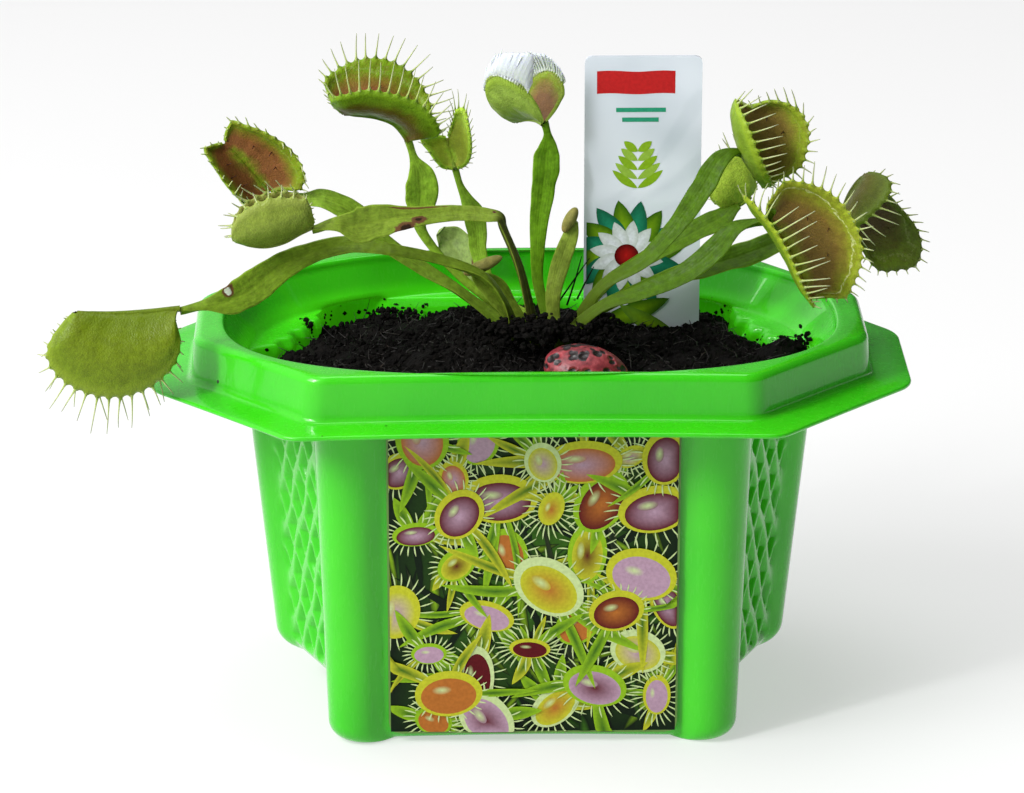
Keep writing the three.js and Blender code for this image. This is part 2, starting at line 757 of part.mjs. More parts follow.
// Moves a geometry that points along +Y so that it reaches from one point to another.
function between(geometry, from, to) {
  const direction = to.clone().sub(from).normalize();
  geometry.applyQuaternion(new THREE.Quaternion().setFromUnitVectors(vector([0, 1, 0]), direction));
  const middle = from.clone().lerp(to, 0.5);
  geometry.translate(middle.x, middle.y, middle.z);
  return solidOf(geometry);
}

// A round rod between two points, six-sided.
function rod(from, to, radius) {
  return between(new THREE.CylinderGeometry(radius * HINGE_TAPER, radius, from.distanceTo(to), 6), from, to);
}

// A young trap, still shut: a small long bud.
function budSolid(bud) {
  const from = vector(bud.from);
  const to = vector(bud.to);
  const geometry = new THREE.IcosahedronGeometry(1, 1);
  geometry.scale(bud.radius, from.distanceTo(to) / 2, bud.radius);
  return between(geometry, from, to);
}

// A thin three-sided spike.
function spike(from, to, radius) {
  return between(new THREE.ConeGeometry(radius, from.distanceTo(to), 3), from, to);
}

// Places on one lobe of a trap: t runs along the hinge, q from the hinge to the margin.
function lobePoint(trap, frame, hand) {
  const half = THREE.MathUtils.degToRad(trap.half);
  return (t, q) => {
    const shape = Math.sin(Math.PI * mix(LOBE_ENDS, 1 - LOBE_ENDS, t)) ** LOBE_ROUNDNESS;
    const reach = trap.depth * q * shape;
    const bulge = trap.bulge * Math.sin(Math.PI * LOBE_CUP * q) * shape;
    return frame.middle
      .clone()
      .addScaledVector(frame.along, (t - 0.5) * frame.length * (1 + LOBE_SPREAD * q))
      .addScaledVector(frame.out, Math.cos(half) * reach)
      .addScaledVector(frame.side, hand * (Math.sin(half) * reach + bulge));
  };
}

// The hinge of a trap with the directions along it, out of the mouth and to the side.
function trapFrame(trap) {
  const from = vector(trap.from);
  const to = vector(trap.to);
  const along = to.clone().sub(from).normalize();
  const out = vector(trap.mouth);
  out.addScaledVector(along, -out.dot(along)).normalize();
  const side = new THREE.Vector3().crossVectors(along, out);
  return { from, to, along, out, side, middle: from.clone().lerp(to, 0.5), length: from.distanceTo(to) };
}

// The fringe of one lobe, its roots sunk into the margin.
function fringe(trap, frame, hand) {
  const point = lobePoint(trap, frame, hand);
  const spikes = [];
  for (let k = 0; k < CILIA; k++) {
    const t = (k + 0.5) / CILIA;
    const root = point(t, 1);
    const direction = root.clone().sub(point(t, 0.9)).normalize();
    direction.addScaledVector(frame.along, (t - 0.5) * CILIA_FAN);
    direction.addScaledVector(frame.side, -hand * trap.lean).normalize();
    const taper = 1 - CILIA_SHORTER * (1 - Math.sin(Math.PI * t));
    const length = trap.cilia * taper * (k % 2 === 0 ? 1 : CILIA_ODD);
    const foot = root.clone().addScaledVector(direction, -CILIUM_SUNK);
    spikes.push(spike(foot, root.clone().addScaledVector(direction, length), CILIUM_ROOT));
  }
  return spikes;
}

// A thin curved shell on both sides of a lobe's surface.
function lobeSolid(point, hand) {
  const skin = (t, q, offset) => {
    const step = 0.02;
    const alongHinge = point(t + step, q).sub(point(t - step, q));
    const outwards = point(t, q + step).sub(point(t, q - step));
    return point(t, q).addScaledVector(alongHinge.cross(outwards).normalize(), offset * hand);
  };
  const points = [];
  const index = (i, j, face) => (face * (LOBE_ACROSS + 1) + j) * (LOBE_ALONG + 1) + i;
  for (const face of [0, 1]) {
    for (let j = 0; j <= LOBE_ACROSS; j++) {
      for (let i = 0; i <= LOBE_ALONG; i++) {
        points.push(skin(i / LOBE_ALONG, j / LOBE_ACROSS, (face - 0.5) * LOBE_THICK));
      }
    }
  }
  const triangles = [];
  const quad = (a, b, c, d) => {
    if (hand > 0) triangles.push([a, b, c], [a, c, d]);
    else triangles.push([a, c, b], [a, d, c]);
  };
  for (let j = 0; j < LOBE_ACROSS; j++) {
    for (let i = 0; i < LOBE_ALONG; i++) {
      quad(index(i, j, 1), index(i + 1, j, 1), index(i + 1, j + 1, 1), index(i, j + 1, 1));
      quad(index(i, j, 0), index(i, j + 1, 0), index(i + 1, j + 1, 0), index(i + 1, j, 0));
    }
  }
  for (let i = 0; i < LOBE_ALONG; i++) {
    quad(index(i, 0, 0), index(i + 1, 0, 0), index(i + 1, 0, 1), index(i, 0, 1));
    const j = LOBE_ACROSS;
    quad(index(i, j, 1), index(i + 1, j, 1), index(i + 1, j, 0), index(i, j, 0));
  }
  for (let j = 0; j < LOBE_ACROSS; j++) {
    quad(index(0, j, 1), index(0, j + 1, 1), index(0, j + 1, 0), index(0, j, 0));
    const i = LOBE_ALONG;
    quad(index(i, j, 0), index(i, j + 1, 0), index(i, j + 1, 1), index(i, j, 1));
  }
  return solid(points, triangles);
}

// A trap: two curved lobes on a hinge, each with a fringe of cilia.
function trapParts(trap) {
  const frame = trapFrame(trap);
  const lobes = [-1, 1].flatMap((hand) => [
    lobeSolid(lobePoint(trap, frame, hand), hand),
    ...fringe(trap, frame, hand),
  ]);
  return [rod(frame.from, frame.to, HINGE_RADIUS), ...lobes];
}

function leafSolid(leaf) {
  const parts = [bladeSolid(leaf)];
  if (leaf.bud) parts.push(budSolid(leaf.bud));
  if (leaf.trap) parts.push(...trapParts(leaf.trap));
  return parts.reduce((whole, part) => whole.add(part));
}

// ---------------------------------------------------------------- the whole plant

let peat = soilSolid().subtract(pebbleSolid(CLEARANCE)).subtract(tagSlot());
for (const leaf of LEAVES) peat = peat.subtract(bladeSolid(leaf, STEM_HOLE));

add("pot", potSolid(), "#4bcf2c", 0.35);
add("soil", peat, "#1c1210", 0.95);
add("front_label", labelSolid(), "#7f9a2a", 0.4);
add("plant_tag", tagSolid(), "#eef1f4", 0.25);
add("pebble", pebbleSolid(0), "#b4566a", 0.5);
for (const leaf of LEAVES) add(leaf.name, leafSolid(leaf), leaf.color, 0.5);

export default root;
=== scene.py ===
# %% [markdown]
# # A potted venus flytrap
# The object is a bright green moulded pot, 148 mm long over its flange, filled with dark peat. Thirteen
# leaves grow from one crown, most of them ending in a trap. A glossy tag and a spotted stone stand in the
# peat, and a printed label covers the front panel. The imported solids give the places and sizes; this
# script gives each of them a finer surface in the same frame, and a finish.

# %% Load the frame
import math

import bpy
import numpy as np
from mathutils import Matrix, Vector


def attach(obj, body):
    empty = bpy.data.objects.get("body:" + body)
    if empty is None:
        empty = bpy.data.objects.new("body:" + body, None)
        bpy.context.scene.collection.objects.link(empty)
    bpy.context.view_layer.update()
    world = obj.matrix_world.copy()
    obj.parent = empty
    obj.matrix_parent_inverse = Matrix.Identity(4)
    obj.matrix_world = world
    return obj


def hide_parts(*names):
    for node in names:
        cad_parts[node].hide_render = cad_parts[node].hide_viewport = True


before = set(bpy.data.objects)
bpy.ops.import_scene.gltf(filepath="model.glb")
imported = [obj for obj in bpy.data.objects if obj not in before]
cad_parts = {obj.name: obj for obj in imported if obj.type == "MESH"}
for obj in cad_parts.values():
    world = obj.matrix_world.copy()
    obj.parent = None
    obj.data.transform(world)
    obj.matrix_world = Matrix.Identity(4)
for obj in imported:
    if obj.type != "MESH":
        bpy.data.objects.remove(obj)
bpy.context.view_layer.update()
print("solids:", sorted(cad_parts))

# %% [markdown]
# ## Units and the mesh maker
# All the sizes below are in millimetres, as on a drawing, and become metres in one place only. Most
# surfaces of a plant are swept or folded sheets, so a grid of points is the natural way to make them: each
# row of the grid is one station along the leaf, and the quads between the rows are always the same.

# %% Make meshes from points
MM = 0.001


def grid_faces(rows, columns, closed=False, first=0):
    """Quads between the points of a grid; closed joins its last column to its first."""
    across = columns if closed else columns - 1
    j, i = np.meshgrid(np.arange(rows - 1), np.arange(across), indexing="ij")
    a = (j * columns + i).ravel()
    b = (j * columns + (i + 1) % columns).ravel()
    return np.column_stack([a, b, b + columns, a + columns]) + first


def piece(name, points, faces, material, slot, stands_for=(), uv=None, tint=None, smooth=True):
    """One object of the plant, at its place in the frame, riding on its only body."""
    mesh = bpy.data.meshes.new(name)
    mesh.from_pydata((np.asarray(points, float) * MM).tolist(), [], [list(map(int, f)) for f in faces])
    mesh.validate()
    if uv is not None:
        layer = mesh.uv_layers.new(name="place")
        corners = np.empty(len(mesh.loops), int)
        mesh.loops.foreach_get("vertex_index", corners)
        layer.data.foreach_set("uv", np.asarray(uv, float)[corners].ravel())
    if tint is not None:
        colours = mesh.color_attributes.new("tint", "FLOAT_COLOR", "POINT")
        colours.data.foreach_set("color", np.asarray(tint, float).ravel())
    mesh.polygons.foreach_set("use_smooth", [smooth] * len(mesh.polygons))
    mesh.materials.append(material)
    made = bpy.data.objects.new(name, mesh)
    bpy.context.scene.collection.objects.link(made)
    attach(made, "root")
    for node in stands_for:
        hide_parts(node)
    print(f"{name}: {len(mesh.vertices)} points, {len(mesh.polygons)} faces")
    return made


# %% [markdown]
# A few helpers come back in every part: a mix of two values, a soft step, a direction of length one, and a
# smooth random wave for everything that is not quite straight.

# %% Small curves and steps
def mix(a, b, t):
    return a + (b - a) * t


def smoothstep(low, high, value):
    t = np.clip((value - low) / (high - low), 0, 1)
    return t * t * (3 - 2 * t)


def unit(v):
    v = np.asarray(v, float)
    return v / np.maximum(np.linalg.norm(v, axis=-1, keepdims=True), 1e-9)


def wavy(x, y, seed, scale=1.0):
    """A smooth random height between about -1 and 1, from a few waves that cross at odd angles."""
    draw = np.random.default_rng(seed)
    total = 0
    for _ in range(6):
        angle = draw.uniform(0, math.tau)
        pitch = draw.uniform(0.5, 1.6) / scale
        wave = np.cos(pitch * (x * math.cos(angle) + y * math.sin(angle)) + draw.uniform(0, math.tau))
        total = total + wave
    return total / 4


# %% [markdown]
# ## Camera
# The photograph was taken with a long lens from a little above: the rim's far side shows above its near
# side, and the front panel hardly narrows downwards. A camera 0.9 m away that looks down by 20 degrees
# gives both. It stands one degree to the left, because a sliver of the left end column shows.

# %% Set up the camera
IMAGE_WIDTH, IMAGE_HEIGHT = 1024, 793
PIXELS_PER_MM = 5.07
DISTANCE = 900
LOOK_DOWN = math.radians(20)
LOOK_RIGHT = math.radians(1)
CAMERA_PLACE = (-18.31, -845.59, 368.49)

SENSOR_WIDTH = 36


def aimed(name, data, place, direction):
    """An object at a place in the frame, with its -Z axis along a direction and its top upwards."""
    made = bpy.data.objects.new(name, data)
    bpy.context.scene.collection.objects.link(made)
    turn = Vector(direction).to_track_quat("-Z", "Y").to_matrix().to_4x4()
    made.matrix_world = Matrix.Translation(Vector(place) * MM) @ turn
    return made


lens = bpy.data.cameras.new("camera")
lens.sensor_width = SENSOR_WIDTH
lens.lens = SENSOR_WIDTH * PIXELS_PER_MM * DISTANCE / IMAGE_WIDTH
ahead_level = math.cos(LOOK_DOWN)
CAMERA_AHEAD = (math.sin(LOOK_RIGHT) * ahead_level, math.cos(LOOK_RIGHT) * ahead_level, -math.sin(LOOK_DOWN))
bpy.context.scene.camera = aimed("camera", lens, CAMERA_PLACE, CAMERA_AHEAD)
bpy.context.scene.view_settings.view_transform = "Standard"
print("lens", round(lens.lens, 1), "mm")

# %% [markdown]
# ## Node recipes
# Every finish here is made of a few of the same nodes: noise to vary a colour, a ramp to choose it, and
# bump for what is too fine to model. A small class keeps each recipe short enough to read in one look.
# The scale of a noise or of cells is counted per metre: at 600 its patches are one to two millimetres wide.

# %% A class for finishes
class Finish:
    """A material, with short names for the nodes that its colour and bump are made of."""

    def __init__(self, name, **sockets):
        self.material = bpy.data.materials.new(name)
        self.material.use_nodes = True
        self.tree = self.material.node_tree
        self.shader = self.tree.nodes["Principled BSDF"]
        for socket, value in sockets.items():
            self.shader.inputs[socket.replace("_", " ")].default_value = value

    def node(self, kind, inputs=None, **settings):
        node = self.tree.nodes.new(kind)
        for key, value in settings.items():
            setattr(node, key, value)
        for key, value in (inputs or {}).items():
            self.feed(node.inputs[key], value)
        return node

    def feed(self, socket, value):
        if isinstance(value, bpy.types.NodeSocket):
            self.tree.links.new(value, socket)
        else:
            socket.default_value = value

    def place(self):
        return self.node("ShaderNodeTexCoord").outputs["Object"]

    def uv(self):
        """How far across and how far along a sheet, as two separate values."""
        where = self.node("ShaderNodeUVMap", uv_map="place").outputs[0]
        split = self.node("ShaderNodeSeparateXYZ", {0: where})
        return split.outputs["X"], split.outputs["Y"]

    def tint(self):
        return self.node("ShaderNodeVertexColor", layer_name="tint").outputs["Color"]

    def noise(self, scale, detail=3.0, roughness=0.5, stretch=(1, 1, 1), vector=None):
        vector = self.place() if vector is None else vector
        moved = self.node("ShaderNodeVectorMath", {0: vector, 1: stretch}, operation="MULTIPLY").outputs[0]
        inputs = {"Vector": moved, "Scale": scale, "Detail": detail, "Roughness": roughness}
        return self.node("ShaderNodeTexNoise", inputs).outputs["Fac"]

    def cells(self, scale, feature="F1", vector=None):
        vector = self.place() if vector is None else vector
        inputs = {"Vector": vector, "Scale": scale}
        return self.node("ShaderNodeTexVoronoi", inputs, feature=feature).outputs["Distance"]

    def math(self, operation, a, b=0.0):
        return self.node("ShaderNodeMath", {0: a, 1: b}, operation=operation).outputs[0]

    def span(self, value, low, high, to_low=0.0, to_high=1.0):
        """The value taken from one range to another, with soft ends."""
        inputs = {"Value": value, "From Min": low, "From Max": high, "To Min": to_low, "To Max": to_high}
        return self.node("ShaderNodeMapRange", inputs, interpolation_type="SMOOTHSTEP").outputs[0]

    def ramp(self, value, stops):
        node = self.node("ShaderNodeValToRGB", {"Fac": value})
        ramp = node.color_ramp
        while len(ramp.elements) < len(stops):
            ramp.elements.new(0.5)
        for element, (place, colour) in zip(ramp.elements, stops):
            element.position = place
            element.color = (*colour, 1)
        return node.outputs["Color"]

    def blend(self, factor, a, b, mode="MIX"):
        node = self.node("ShaderNodeMix", data_type="RGBA", blend_type=mode)
        for index, value in ((0, factor), (6, a), (7, b)):
            if not isinstance(value, bpy.types.NodeSocket) and index > 0:
                value = (*value[:3], 1)
            self.feed(node.inputs[index], value)
        return node.outputs[2]

    def bump(self, height, depth_mm, strength=1.0, under=None):
        inputs = {"Height": height, "Distance": depth_mm * MM, "Strength": strength}
        if under is not None:
            inputs["Normal"] = under
        return self.node("ShaderNodeBump", inputs).outputs["Normal"]

    def done(self, colour, normal=None, roughness=None):
        self.feed(self.shader.inputs["Base Color"], colour)
        if normal is not None:
            self.feed(self.shader.inputs["Normal"], normal)
        if roughness is not None:
            self.feed(self.shader.inputs["Roughness"], roughness)
        return self.material


# %% [markdown]
# ## Stage
# The photograph stands the pot on plain white, lit by a window on the left: the faces that look right
# are much darker. A sky that fades from left to right does this softly. Two large lamps, one for the
# window and one above, and a narrow one at the left put the long highlights on the rim.

# %% Floor, sky and lamps
FLOOR_SIZE = 8000
half = FLOOR_SIZE / 2
floor_mesh = bpy.data.meshes.new("floor")
corners = [(-half, -half, 0), (half, -half, 0), (half, half, 0), (-half, half, 0)]
floor_mesh.from_pydata([tuple(v * MM for v in corner) for corner in corners], [], [(0, 1, 2, 3)])
floor = bpy.data.objects.new("floor", floor_mesh)
bpy.context.scene.collection.objects.link(floor)
paper = Finish(
    "floor_paper", Roughness=0.9, Specular_IOR_Level=0.1, Emission_Color=(1, 1, 1, 1),
    Emission_Strength=0.5,
)
paper_grey = paper.ramp(paper.noise(3), [(0, (0.37, 0.37, 0.37)), (1, (0.40, 0.40, 0.40))])
floor_mesh.materials.append(paper.done(paper_grey))

SKY_LEFT = 1.1
SKY_RIGHT = 0.06
sky = bpy.data.worlds.new("sky")
bpy.context.scene.world = sky
sky.use_nodes = True
sky_nodes = sky.node_tree.nodes
sky_links = sky.node_tree.links
way = sky_nodes.new("ShaderNodeTexCoord")
split = sky_nodes.new("ShaderNodeSeparateXYZ")
fade = sky_nodes.new("ShaderNodeMapRange")
fade.interpolation_type = "SMOOTHSTEP"
for key, value in {"From Min": -0.6, "From Max": 0.3, "To Min": SKY_LEFT, "To Max": SKY_RIGHT}.items():
    fade.inputs[key].default_value = value
sky_links.new(way.outputs["Generated"], split.inputs[0])
sky_links.new(split.outputs["X"], fade.inputs["Value"])
sky_links.new(fade.outputs[0], sky_nodes["Background"].inputs["Strength"])
sky_nodes["Background"].inputs["Color"].default_value = (1, 1, 1, 1)


LAMPS_AIM = (0, 0, 60)  # the middle of the pot, in mm


def lamp(name, place, size, power):
    light = bpy.data.lights.new(name, "AREA")
    light.shape = "RECTANGLE"
    light.size, light.size_y = size[0] * MM, size[1] * MM
    light.energy = power
    aimed(name, light, place, Vector(LAMPS_AIM) - Vector(place))


lamp("window", (-900, -500, 900), (700, 700), 13)
lamp("strip_left", (-520, -420, 520), (60, 240), 3.2)
lamp("top", (0, 100, 1000), (600, 600), 4)

# %% [markdown]
# ## The pot's skin
# The real pot is one sheet of plastic, vacuum-formed over a mould: six round columns, flat panels
# between them, and at both ends panels with a raised net. I could model each column and panel as a
# body and join them, but the joins would need fillets everywhere. A distance field does it in one go: the
# outline at any height is where the field is zero, and a soft minimum rounds every inner corner.

# %% Measures of the pot
POT_HEIGHT = 79
FLANGE_UNDER = 69.2
FLANGE_TOP = 70.1
LEDGE = 70.5
WALL = 1.3
RIM_SAG = 1.3
SAG_START, SAG_FULL = 55, 68
END_LIFT = 8.5
FOOT_ROUND = 4
FOOT_HALF_WIDTH = 39
FOOT_SLOPE = 1.5
TIER = dict(x=65.5, y=38.3, front=42, side=12.8)
FLANGE = dict(x=73.9, y=46.2, front=46.3, side=15)
OPENING_TOP = dict(x=59.7, y=37.7, power=2.45)
OPENING_FOOT = dict(x=55.6, y=36, power=2.3)
FOOT = dict(front_x=34.3, front_y=27.4, front_r=5.5, end_x=44.3, end_r=5.3, panel_y=30.2, net_d=44.2)
NECK = dict(front_x=35.2, front_y=28.8, front_r=6.9, end_x=51, end_r=5.4, panel_y=32.8, net_d=49)
NECK_Z = 69
NET_NORMAL = (0.904, 0.427)
FILLET = 1.1
print("pot:", 2 * FLANGE["x"], "by", 2 * FLANGE["y"], "by", POT_HEIGHT, "mm")

# %% [markdown]
# A ray from the axis is followed to where the field is zero. A formula for that place would need a case for
# each column and panel; halving the span that holds it needs none, and numpy does all the rays at once.

# %% Outline of the pot's body
def soft_min(a, b, radius):
    h = np.clip(0.5 + 0.5 * (b - a) / radius, 0, 1)
    return mix(b, a, h) - radius * h * (1 - h)


def body_field(x, y, z):
    """Below zero inside the body at height z."""
    at = {key: mix(FOOT[key], NECK[key], z / NECK_Z) for key in FOOT}
    x, y = np.abs(x), np.abs(y)
    panels = -soft_min(at["net_d"] - (x * NET_NORMAL[0] + y * NET_NORMAL[1]), at["panel_y"] - y, 0.5)
    front = np.hypot(x - at["front_x"], y - at["front_y"]) - at["front_r"]
    end = np.hypot(x - at["end_x"], y) - at["end_r"]
    return soft_min(soft_min(panels, front, FILLET), end, FILLET)


def body_radius(cos, sin, z):
    """Where a ray from the axis leaves the body, by halving the span that holds the wall."""
    low, high = np.full(np.broadcast(cos, z).shape, 15.0), np.full(np.broadcast(cos, z).shape, 75.0)
    for _ in range(26):
        middle = (low + high) / 2
        inside = body_field(cos * middle, sin * middle, z) < 0
        low, high = np.where(inside, middle, low), np.where(inside, high, middle)
    return low


def octagon_radius(cos, sin, outline, round_):
    """Where a ray leaves an eight-sided outline whose corners are rounded."""
    dx, dy = outline["x"] - outline["front"], outline["y"] - outline["side"]
    length = math.hypot(dx, dy)
    slant = (outline["front"] * dy + outline["y"] * dx) / length
    x, y = np.abs(cos), np.abs(sin)
    low, high = np.full(cos.shape, 20.0), np.full(cos.shape, 90.0)
    for _ in range(26):
        r = (low + high) / 2
        sides = outline["x"] - x * r, outline["y"] - y * r, slant - (x * dy + y * dx) / length * r
        inside = soft_min(soft_min(sides[0], sides[2], round_), sides[1], round_) > 0
        low, high = np.where(inside, r, low), np.where(inside, high, r)
    return low


quarter = np.radians(np.concatenate([np.arange(0, 50, 0.4), np.linspace(50, 90, 24)]))
ANGLES = np.concatenate([quarter, np.pi - quarter[-2::-1], np.pi + quarter[1:], 2 * np.pi - quarter[-2:0:-1]])
COS, SIN = np.cos(ANGLES), np.sin(ANGLES)
BEARING = np.degrees(np.arctan2(np.abs(SIN), np.abs(COS)))
print("rays round the pot:", len(ANGLES))

# %% [markdown]
# ## The raised net
# The net is a lattice of rounded threads raised from the end panels, with cells about 10 mm tall and 5 mm
# wide, and the same lattice shows inside. Threads follow the two families of diagonals of a grid in
# bearing and height, so the depth of the dimple between them is a formula of the distance to the nearest
# thread.

# %% Relief of the net
RAYS = [0, 3.2, 6, 9.4, 12.8, 16.2, 19.6, 23, 26.3, 29.5, 33]
NET_FIRST, NET_LAST = 2, 9
NET_ROWS = 11
NET_DEPTH = 1.35
THREAD = 0.13
NET_Z = (END_LIFT + FOOT_ROUND, FLANGE_UNDER)


def net_relief(bearing, z):
    """How deep the skin is pressed in between the threads, 0 on a thread and outside the net."""
    column = np.interp(bearing, RAYS, np.arange(len(RAYS)))
    row = (z - NET_Z[0]) / (NET_Z[1] - NET_Z[0]) * NET_ROWS
    column = column + 0.13 * np.sin(1.7 * row + 0.6)
    row = row + 0.13 * np.sin(2.3 * column)
    rising = np.abs((column - row) / 2 % 1 - 0.5) * 2
    falling = np.abs((column + row) / 2 % 1 - 0.5) * 2
    away = 1 - np.maximum(rising + 0.08, falling - 0.05)
    panel = smoothstep(NET_FIRST, NET_FIRST + 0.5, column) * smoothstep(NET_LAST, NET_LAST - 0.5, column)
    return NET_DEPTH * smoothstep(THREAD, 0.62, away) * panel


# %% [markdown]
# The whole pot is one stack of closed rings, each with its own radius for every ray. It starts in the middle
# of the underside, climbs the wall, goes out over the flange and up the tier, then comes down inside to
# well below the peat, so that the plastic has its real thickness wherever it can be seen.

# %% Rings of the underside and the wall
def lifted(bearing):
    return END_LIFT * (1 - smoothstep(29.5, 32.5, bearing))


def ring(radius, z):
    """One closed ring of the pot; the ends of the rim hang a little lower."""
    z = np.broadcast_to(np.asarray(z, float), COS.shape)
    x = COS * radius
    sag = RIM_SAG * (x / TIER["x"]) ** 2 * smoothstep(SAG_START, SAG_FULL, z)
    return np.column_stack([x, SIN * radius, z - sag])


def wall_radius(z, inset=0.0):
    return body_radius(COS, SIN, z) - inset - net_relief(BEARING, z)


LIFT = lifted(BEARING)
turn = body_radius(COS, SIN, LIFT + FOOT_ROUND) - FOOT_ROUND
foot_wall = FOOT_HALF_WIDTH / np.maximum(np.abs(COS), 1e-6)
rings = [ring(np.full(COS.shape, 0.5), 0)]
for share in (0.4, 0.8, 1):
    rings.append(ring(np.minimum(turn - 1.5 * FOOT_SLOPE, foot_wall - FOOT_SLOPE) * share, 0))
rings.append(ring(np.minimum(turn - 0.5 * FOOT_SLOPE, foot_wall), LIFT))
for lean in np.linspace(0, math.pi / 2, 9)[:-1]:
    z = LIFT + FOOT_ROUND * (1 - math.cos(lean))
    rings.append(ring(body_radius(COS, SIN, z) - FOOT_ROUND * (1 - math.sin(lean)), z))
WALL_ROWS = 170
for share in np.linspace(0, 1, WALL_ROWS):
    z = mix(LIFT + FOOT_ROUND, FLANGE_UNDER, share)
    rings.append(ring(wall_radius(z), z))
print("rings up to the flange:", len(rings))

# %% [markdown]
# The flange is a thin octagon, and the tier above it is a smaller one round an opening that is neither an
# oval nor a rectangle; a power of its two half widths gives that. A bevel modifier could round the edges,
# but rings set on parts of a circle keep the stack one clean grid.

# %% Rings of the flange, the tier and the lip
flange = octagon_radius(COS, SIN, FLANGE, 2.2)
tier = octagon_radius(COS, SIN, TIER, 2.0)


def oval(outline):
    inner = np.abs(COS / outline["x"]) ** outline["power"] + np.abs(SIN / outline["y"]) ** outline["power"]
    return inner ** (-1 / outline["power"])


opening, opening_foot = oval(OPENING_TOP), oval(OPENING_FOOT)
edge = (FLANGE_TOP - FLANGE_UNDER) / 2
rings.append(ring(mix(wall_radius(np.full(COS.shape, FLANGE_UNDER)), flange, 0.5), FLANGE_UNDER))
for lean in np.linspace(-math.pi / 2, math.pi / 2, 7):
    rings.append(ring(flange - edge + edge * math.cos(lean), FLANGE_UNDER + edge + edge * math.sin(lean)))
TIER_FOOT, TIER_TOP, LIP_ROUND, TIER_DRAFT = 1.3, 1.7, 1.3, 0.5
rings.append(ring(mix(flange, tier + TIER_FOOT, 0.5), FLANGE_TOP))
for lean in np.linspace(0, math.pi / 2, 7):
    away, rise = TIER_FOOT * (1 - math.sin(lean)), TIER_FOOT * (1 - math.cos(lean))
    rings.append(ring(tier + TIER_DRAFT + away, FLANGE_TOP + rise))
for lean in np.linspace(0, math.pi / 2, 9):
    rings.append(ring(tier - TIER_TOP * (1 - math.cos(lean)), POT_HEIGHT - TIER_TOP * (1 - math.sin(lean))))
LIP_LEAN = 0.6
for share in (0.25, 0.5, 0.75):
    rings.append(ring(mix(tier - TIER_TOP, opening + LIP_LEAN, share), POT_HEIGHT))
for lean in np.linspace(0, math.pi / 2, 7):
    drop = LIP_ROUND * (1 - math.cos(lean))
    rings.append(ring(opening + LIP_LEAN * (1 - math.sin(lean)), POT_HEIGHT - drop))
OUTSIDE_RINGS = len(rings)

# %% [markdown]
# Inside, the wall leans in to a narrow ledge and then follows the outside at the thickness of the plastic.
# Below the peat nobody can look, so the last ring simply closes it. Daylight shines through the lower part
# of the inside that shows; each point there gets a number for how much.

# %% Rings of the inside
for share in np.linspace(0.12, 1, 8):
    rings.append(ring(mix(opening, opening_foot, share), mix(POT_HEIGHT - LIP_ROUND, LEDGE + 0.9, share)))
inner_top = wall_radius(np.full(COS.shape, FLANGE_UNDER), WALL - 0.6)
for share, height in ((0.06, 0.4), (0.16, 0.1), (0.4, 0), (0.8, 0), (0.94, -0.1), (1, -0.6)):
    rings.append(ring(mix(opening_foot, inner_top, share), LEDGE + height))
INNER_BOTTOM = 40
for share in np.linspace(0.02, 1, 60):
    z = np.full(COS.shape, mix(LEDGE - 1.0, INNER_BOTTOM, share))
    rings.append(ring(wall_radius(z, WALL), z))
rings.append(ring(np.full(COS.shape, 0.5), INNER_BOTTOM))
POT_POINTS = np.concatenate(rings)
POT_FACES = grid_faces(len(rings), len(ANGLES), closed=True)
print("rings:", len(rings))
LIT_FROM, LIT_FULL = 74, 70.8
lit_through = smoothstep(LIT_FROM, LIT_FULL, POT_POINTS[:, 2])
lit_through[:OUTSIDE_RINGS * len(ANGLES)] = 0
print("points where light comes through the wall:", int((lit_through > 0).sum()))

# %% [markdown]
# ## The pot's plastic
# Cheap glossy plastic: one strong green, a little cloudy, with a faint ripple from the mould, scuffs and
# small dark specks of peat. The light that passes through is given by a shallow subsurface. It would take
# very many samples to bring the daylight through both skins of the wall, so the inside below the lip also
# glows a little, by a number that each point carries.

# %% Finish of the pot
PLASTIC_GREEN = (0.042, 0.49, 0.007)
PLASTIC_DEEP = (0.028, 0.42, 0.005)
PLASTIC_LIT = (0.02, 0.19, 0.001)


def plastic_finish():
    finish = Finish(
        "green_plastic", Roughness=0.27, IOR=1.49, Subsurface_Weight=0.2,
        Subsurface_Radius=(0.3, 1.0, 0.2), Subsurface_Scale=0.003, Specular_IOR_Level=0.18,
        Coat_Weight=0.7, Coat_IOR=1.4, Coat_Roughness=0.05, Emission_Strength=1,
    )
    cloud = finish.ramp(finish.noise(45, 4), [(0.3, PLASTIC_DEEP), (0.7, PLASTIC_GREEN)])
    speck_size = finish.noise(230, 2)
    specks = finish.math("LESS_THAN", finish.cells(260), finish.span(speck_size, 0.56, 0.8, 0.0, 0.20))
    colour = finish.blend(specks, cloud, (0.01, 0.03, 0.004))
    ripple = finish.bump(finish.noise(60, 2), 0.10, 0.6)
    scuffs = finish.span(finish.noise(900, 3, 0.7, (1, 1, 0.2)), 0.45, 0.75, 0.22, 0.36)
    glow = finish.node("ShaderNodeSeparateColor", {0: finish.tint()}).outputs[0]
    soft = finish.math("MULTIPLY", glow, finish.span(finish.noise(40, 3), 0.3, 0.7, 0.6, 1.2))
    finish.feed(finish.shader.inputs["Emission Color"], finish.blend(soft, (0, 0, 0), PLASTIC_LIT))
    return finish.done(colour, ripple, scuffs)


PLASTIC = plastic_finish()
pot_tint = np.repeat(lit_through[:, None], 4, axis=1)
piece("pot_shell", POT_POINTS, POT_FACES, PLASTIC, "pot_plastic", ["pot"], tint=pot_tint)

# %% [markdown]
# ## The label
# A printed sticker fills the front panel. Its print is made of thin flat shapes laid over each other, as
# a collage is: long leaves and round flower heads with pale stamens, in the limes, reds and lilacs of a
# plant label. Each shape is a fan of triangles with its own colours, so it needs no picture file.

